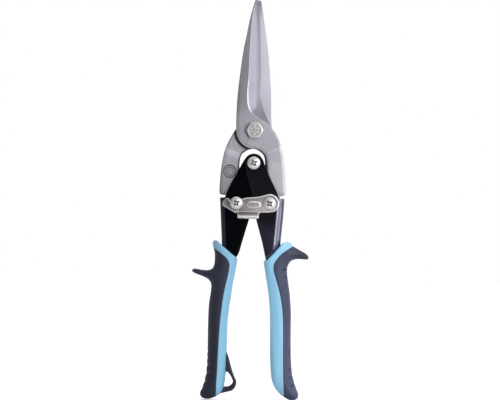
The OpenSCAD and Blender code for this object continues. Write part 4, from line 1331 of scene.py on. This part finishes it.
def build_latch():
    outline = latch_outline()

    def oval_gap(points):
        along = np.maximum(np.abs(points[:, 0] - OVAL_AT[0]) - OVAL_REACH, 0)
        return np.hypot(along, points[:, 1] - OVAL_AT[1]) - OVAL_RADIUS

    def top(points):
        depth = gap(points, outline, True)
        z = (LATCH_FRONT - round_drop(depth, 0.62)
             - 0.2 * rise(depth, 1.05, 0.45) * rise(points[:, 1], -59.2, 0.8))
        return z + 0.42 * fall(oval_gap(points), 0.25, 0.7)

    def bottom(points):
        return LATCH_REAR + round_drop(gap(points, outline, True), 0.3)

    def zone(points):
        """slot 0 is the bright rim, slot 1 the face"""
        x, y = points.T
        depth = gap(points, outline, True)
        slots = (((depth > np.where(x < -13.5, 0.62, 0.88)) & (y > -59.2))
                 | ((y < -59.2) & (y > -62.8) & (depth > 0.7))).astype(int)
        slots[np.abs(oval_gap(points)) < 0.5] = 0
        # painted highlight: the crest of the tab's fold takes the bright rim steel
        slots[(y < -58.6) & (y > -59.1)] = 0
        return slots

    lines = []
    for shift in (-0.9, -0.6, -0.35, -0.1, 0.1, 0.35):
        radius = OVAL_RADIUS + shift
        lines.append(np.vstack([arc(OVAL_RIGHT, radius, -90, 90, 16),
                                arc(OVAL_LEFT, radius, 90, 270, 16),
                                [[OVAL_RIGHT[0], OVAL_RIGHT[1] - radius]]]))
    lines += [np.stack([np.linspace(-11.15, 4.3, 22), np.full(22, y)], 1) for y in
              (-58.3, -58.6, -58.85, -59.1, -59.3, -59.5, -59.7, -59.85, -60.3, -62.8)]
    verts, faces, slots = plate(
        outline, top, bottom, grid=0.9, holes=[circle(RIGHT_TAIL, 3.06, 32)], lines=lines,
        rings=(0.03, 0.1, 0.22, 0.4, 0.62, 0.88, 1.05, 1.28, 1.5), zone=zone,
        under_zone=lambda points: np.ones(len(points), int))

    x, y, z = verts.T.copy()
    below = np.maximum(BEND_Y - y, 0)
    bent = (y < BEND_Y) & (x > -11.6) & (x < 4.75)
    angle = np.minimum(below / BEND_RADIUS, BEND_ANGLE)
    straight = np.maximum(below - BEND_RADIUS * BEND_ANGLE, 0)
    height = z - BEND_Z
    bent_y = (BEND_Y - (BEND_RADIUS * np.sin(angle) + straight * np.cos(angle))
              + height * np.sin(angle))
    bent_z = (BEND_Z + BEND_RADIUS * (1 - np.cos(angle)) + straight * np.sin(angle)
              + height * np.cos(angle))
    verts[bent, 1] = bent_y[bent]
    verts[bent, 2] = bent_z[bent]
    latch = mesh("latch_plate_pressing", verts, faces, [NICKEL_RIM, NICKEL], slots, sharp=40)
    ride(latch, "latch", ["latch_plate"], "latch_steel")


build_latch()

# ------------------------------------------------------------------ screws
# One arm of the cross recess (x, y), repeated by quarter turns
CROSS_ARM = [(0.94, 0.94), (1.3, 0.82), (2.35, 0.64), (2.58, 0.38), (2.58, -0.38),
             (2.35, -0.64), (1.3, -0.82)]
CROSS = floats([(x * math.cos(a) - y * math.sin(a), x * math.sin(a) + y * math.cos(a))
                for a in [-quarter * math.pi / 2 for quarter in range(4)]
                for x, y in CROSS_ARM])
HEAD_HEIGHT = 2.2
HEAD_WALL = 0.5  # straight side below the dome
RECESS_CORE = 0.72  # radius of the bright middle of the recess


def build_screw(node, body, centre, radius, base_z, turned, shafts):
    """domed cross-recess head turned by degrees; shafts are (radius, rear z, front z)"""
    cos, sin = math.cos(math.radians(turned)), math.sin(math.radians(turned))
    cross = resample(CROSS @ floats([[cos, sin], [-sin, cos]]), 0.18, True)

    def dome(points):
        from_axis = np.hypot(points[:, 0], points[:, 1])
        share = np.clip(from_axis / radius, 0, 1)
        z = base_z + HEAD_WALL + (HEAD_HEIGHT - HEAD_WALL) * np.sqrt(
            np.maximum(1 - share ** 2.7, 0))
        away = gap(points, cross, True)
        depth = ((0.5 + 0.8 * fall(from_axis, 2.3, 1.4)) * smooth(away / 0.34)
                 - 0.45 * fall(from_axis, 0.55, 0.4))
        return np.where(inside(points, cross), z - depth, z - 0.07 * bell(away, 0, 0.12))

    def zone(points):
        # the recess walls take the dark recess steel: painted shade
        return (inside(points, cross) & (gap(points, cross, True) > 0.04)
                & (np.hypot(points[:, 0], points[:, 1]) > RECESS_CORE)).astype(int)

    lines = [close(cross), arc((0, 0), RECESS_CORE, 0, 360, 17)]
    inward = loop_normals(cross)
    if (cross * inward).sum() > 0:
        inward = -inward
    for depth in (0.1, 0.2, 0.3, -0.12):
        line = cross + inward * depth
        good = gap(line, cross, True) > abs(depth) * 0.9
        good &= inside(line, cross) == (depth > 0)
        lines += [floats(run) for run in runs(line, good) if len(run) > 1]
    parts = [plate(circle((0, 0), radius, 72), dome, level(base_z), grid=0.5, lines=lines,
                   rings=(0.02, 0.08, 0.18, 0.34, 0.6, 1.0, 1.5), zone=zone)]
    parts += [plate(circle((0, 0), shaft_radius, 48), level(front), level(rear), grid=3)
              for shaft_radius, rear, front in shafts]
    verts, faces, slots = merge(parts)
    screw = mesh(node + "_head", verts + floats([*centre, 0]), faces, [SCREW_NICKEL, RECESS_SHADE],
                 slots, sharp=36)
    ride(screw, body, [node], "plated_fastener")


build_screw("handle_pivot_screw", "right_handle", HANDLE_PIVOT, radius=4.75, base_z=6.2,
            turned=28, shafts=[(1.5, -3.0, 6.19)])
build_screw("left_tail_screw", "left_handle", LEFT_TAIL, radius=4.65, base_z=8.0,
            turned=35, shafts=[(3.2, 4.07, 7.99), (1.5, -3.0, 4.06)])
build_screw("right_tail_screw", "right_handle", RIGHT_TAIL, radius=4.55, base_z=8.0,
            turned=40, shafts=[(1.5, -2.0, 7.99)])

# ------------------------------------------------------------------ pivot bolt
BOLT_FLATS = 11  # across the flats
BOLT_TOP, BOLT_UNDER, BOLT_END = 10.98, 6.0, -11
SHANK_RADIUS = 4.0
FACE_RADIUS = 4.95  # where the corner chamfer begins
TICK_INNER, TICK_OUTER = 1.8, 3.5  # six raised radial ticks on the face


def radius_and_tick(points):
    """radius, and distance from the nearest tick's middle line"""
    x, y = points.T
    radius = np.hypot(x, y)
    sixth = math.pi / 3
    return radius, np.abs((np.arctan2(y, x) / sixth) % 1 - 0.5) * sixth * radius


def build_bolt():
    corners = hexagon((0, 0), BOLT_FLATS / math.sqrt(3))
    outline = join(*[resample([corners[i], corners[(i + 1) % 6]], 0.4) for i in range(6)])

    def top(points):
        radius, tick = radius_and_tick(points)
        z = (BOLT_TOP - 0.5 * np.maximum(radius - FACE_RADIUS, 0)
             - 0.06 * bell(radius, FACE_RADIUS, 0.1))
        z = z - 0.22 * fall(radius, 4.75, 0.3)
        z = z + 0.05 * fall(radius, 1.2, 0.4)
        z = z + 0.1 * fall(tick, 0.5, 0.2) * rise(radius, 1.7, 0.4) * fall(radius, 3.6, 0.4)
        return z - round_drop(gap(points, outline, True), 0.12)

    def bottom(points):
        return BOLT_UNDER + round_drop(gap(points, outline, True), 0.15)

    def zone(points):
        radius, tick = radius_and_tick(points)
        on_tick = (tick < 0.42) & (radius > TICK_INNER) & (radius < TICK_OUTER)
        return ((radius < 4.9) & ~on_tick).astype(int)

    def shank_end(points):
        radius = np.hypot(points[:, 0], points[:, 1])
        return BOLT_END + 0.35 * rise(radius, 3.6, 0.4)

    lines = [arc((0, 0), radius, 0, 360, 61)
             for radius in (0.8, 1.2, 1.8, 3.5, 4.4, 4.55, 4.75, 4.85, 4.95, 5.05, 5.2)]
    for k in range(6):
        cos, sin = math.cos(math.radians(60 * k + 30)), math.sin(math.radians(60 * k + 30))
        for aside in (-0.5, -0.4, 0.4, 0.5):
            lines.append([(radius * cos - aside * sin, radius * sin + aside * cos)
                          for radius in np.linspace(TICK_INNER, TICK_OUTER, 6)])
    head = plate(outline, top, bottom, grid=0.9, rings=(0.02, 0.06, 0.13, 0.25), lines=lines,
                 zone=zone)
    shank = plate(circle((0, 0), SHANK_RADIUS, 60), level(5.99), shank_end, grid=1.5,
                  rings=(0.1, 0.2, 0.4))
    verts, faces, slots = merge([head, shank])
    bolt = mesh("pivot_bolt_head", verts, faces, [ZINC, BOLT_FACE], slots, sharp=24)
    ride(bolt, "front_jaw", ["pivot_bolt"], "plated_fastener")


build_bolt()

# ------------------------------------------------------------------ opening spring
WIRE_RADIUS = 0.54
WIRE_SIDES = 14
COIL_RADIUS = 4.9
COIL_RISE = 2.9
COIL_TURN = 5 * math.pi  # two and a half turns
LEG_SPLAY = 1.4  # how far a leg leans out
LEG_LENGTH = 17


def build_spring():
    pivot_y = HANDLE_PIVOT[1]
    path = [(COIL_RADIUS + LEG_SPLAY - LEG_SPLAY * t, pivot_y - LEG_LENGTH + LEG_LENGTH * t,
             -COIL_RISE / 2) for t in np.linspace(0, 1, 14)[:-1]]
    path += [(COIL_RADIUS * math.cos(a), pivot_y + COIL_RADIUS * math.sin(a),
              -COIL_RISE / 2 + COIL_RISE * a / COIL_TURN) for a in np.linspace(0, COIL_TURN, 110)]
    path += [(-COIL_RADIUS - LEG_SPLAY * t, pivot_y - LEG_LENGTH * t, COIL_RISE / 2)
             for t in np.linspace(0, 1, 14)[1:]]
    path = floats(path)
    tangent = np.gradient(path, axis=0)
    tangent /= np.linalg.norm(tangent, axis=1)[:, None]
    across = np.cross(tangent, [0, 0, 1.0])
    across /= np.linalg.norm(across, axis=1)[:, None]
    upward = np.cross(tangent, across)
    last = len(path) - 1
    verts = []
    for i in range(len(path)):
        radius = WIRE_RADIUS * (1.0 if 0 < i < last else 0.8)  # the ends are drawn in
        for j in range(WIRE_SIDES):
            a = 2 * math.pi * j / WIRE_SIDES
            verts.append(path[i] + radius * (across[i] * math.cos(a) + upward[i] * math.sin(a)))
    faces = []
    for i in range(last):
        a, b = i * WIRE_SIDES, (i + 1) * WIRE_SIDES
        for j in range(WIRE_SIDES):
            k = (j + 1) % WIRE_SIDES
            faces.append([a + j, a + k, b + k, b + j])
    faces.append(list(range(WIRE_SIDES))[::-1])
    faces.append([last * WIRE_SIDES + j for j in range(WIRE_SIDES)])
    spring = mesh("opening_spring_wire", verts, faces, [SPRING_STEEL], None, sharp=60,
                  weighted=False)
    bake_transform(spring)
    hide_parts("opening_spring")


build_spring()

# ------------------------------------------------------------------ CAD nodes
NODE_LOOKS = [
    (ZINC, "pivot_bolt pivot_nut"),
    (SCREW_NICKEL, "pivot_washer handle_pivot_screw handle_pivot_sleeve_nut left_tail_screw "
                   "left_tail_sleeve_nut right_tail_screw right_tail_sleeve_nut"),
    (BLACK, "left_handle_frame right_handle_frame"),
    (BRASS, "spring_bush latch_friction_washer"),
    (SPRING_STEEL, "opening_spring"),
    (NICKEL, "latch_plate"),
    (BLUE_LEFT, "left_grip_core right_grip_core"),
    (DARK_LEFT, "left_grip_overmould right_grip_overmould lanyard_loop"),
    (FORGED, "front_blade rear_blade")]


def finish_nodes():
    """materials for every node, softened edges for those still shown"""
    looks = {node: material for material, nodes in NODE_LOOKS for node in nodes.split()}
    for name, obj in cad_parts.items():
        obj.data.materials.clear()
        obj.data.materials.append(looks[name])
        if obj.hide_render:
            continue
        weld = obj.modifiers.new("weld", "WELD")
        weld.merge_threshold = 0.000005
        bevel = obj.modifiers.new("edges", "BEVEL")
        bevel.width = 0.00018
        bevel.segments = 2
        bevel.limit_method = "ANGLE"
        bevel.angle_limit = math.radians(40)
        weighted = obj.modifiers.new("weighted", "WEIGHTED_NORMAL")
        weighted.keep_sharp = True


finish_nodes()


# ------------------------------------------------------------------ floor, light and camera
def build_floor():
    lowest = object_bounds()[0][2]
    bpy.ops.mesh.primitive_plane_add(size=6, location=(0, 0, lowest - 0.0008))
    floor = bpy.context.object
    floor.name = "floor"
    material, shader = new_material("floor_white")
    to_camera = shader.node("LightPath").outputs["Is Camera Ray"]
    shader.surface({"Base Color": (0.86, 0.86, 0.87, 1), "Roughness": 0.7,
                    "Specular IOR Level": 0.2, "Emission Color": (1, 1, 1, 1),
                    "Emission Strength": shader.times(to_camera, 0.42)})
    floor.data.materials.append(material)


def build_world():
    """soft white studio, dim in front of the tool and brighter from the right"""
    world = bpy.data.worlds.new("studio")
    bpy.context.scene.world = world
    world.use_nodes = True
    shader = Shader(world.node_tree, "Background")
    axes = shader.axes(shader.coords("Generated"))
    light = shader.times(
        shader.map_range(axes["Y"], start=-0.97, end=-0.5, low=0.40, high=0.92),
        shader.map_range(axes["X"], start=-0.7, end=0.8, low=0.54, high=1.2))
    choose = shader.node("Mix", data_type="FLOAT")
    shader.feed(choose.inputs[0], shader.node("LightPath").outputs["Is Camera Ray"])
    shader.feed(choose.inputs[2], light)
    shader.feed(choose.inputs[3], 1.0)  # what the camera sees directly
    shader.feed(shader.main.inputs[1], choose.outputs[0])
    shader.feed(shader.main.inputs[0], (1, 1, 1, 1))


def area(name, location, size, power):
    light = bpy.data.lights.new(name, "AREA")
    light.energy = power
    light.shape = "RECTANGLE"
    light.size, light.size_y = size
    obj = bpy.data.objects.new(name, light)
    bpy.context.scene.collection.objects.link(obj)
    obj.location = location
    toward = Vector((0, 0, -0.05)) - Vector(location)
    obj.rotation_euler = toward.to_track_quat("-Z", "Y").to_euler()


def build_camera():
    """level view from the front, slightly rolled"""
    lens = bpy.data.cameras.new("camera")
    lens.lens = 200
    lens.sensor_width = 36
    lens.clip_end = 20
    camera = bpy.data.objects.new("camera", lens)
    bpy.context.scene.collection.objects.link(camera)
    aim = Vector((-0.0022, -0.011, -0.05045))
    view_width = 0.3625  # metres across the view at the aim
    distance = view_width * lens.lens / lens.sensor_width
    camera.matrix_world = (Matrix.Translation(aim + Vector((0, -distance, 0)))
                           @ Matrix.Rotation(math.radians(90), 4, "X")
                           @ Matrix.Rotation(math.radians(1.25), 4, "Z"))
    bpy.context.scene.camera = camera


build_floor()
bpy.context.scene.view_settings.view_transform = "Standard"
build_world()
area("key", location=(0.9, -0.5, 0.2), size=(0.5, 0.9), power=3.9)
area("strip", location=(0.42, -1.2, 0.12), size=(0.09, 0.6), power=4.2)
area("top", location=(-0.1, -0.35, 1.0), size=(0.7, 0.4), power=1.7)
build_camera()
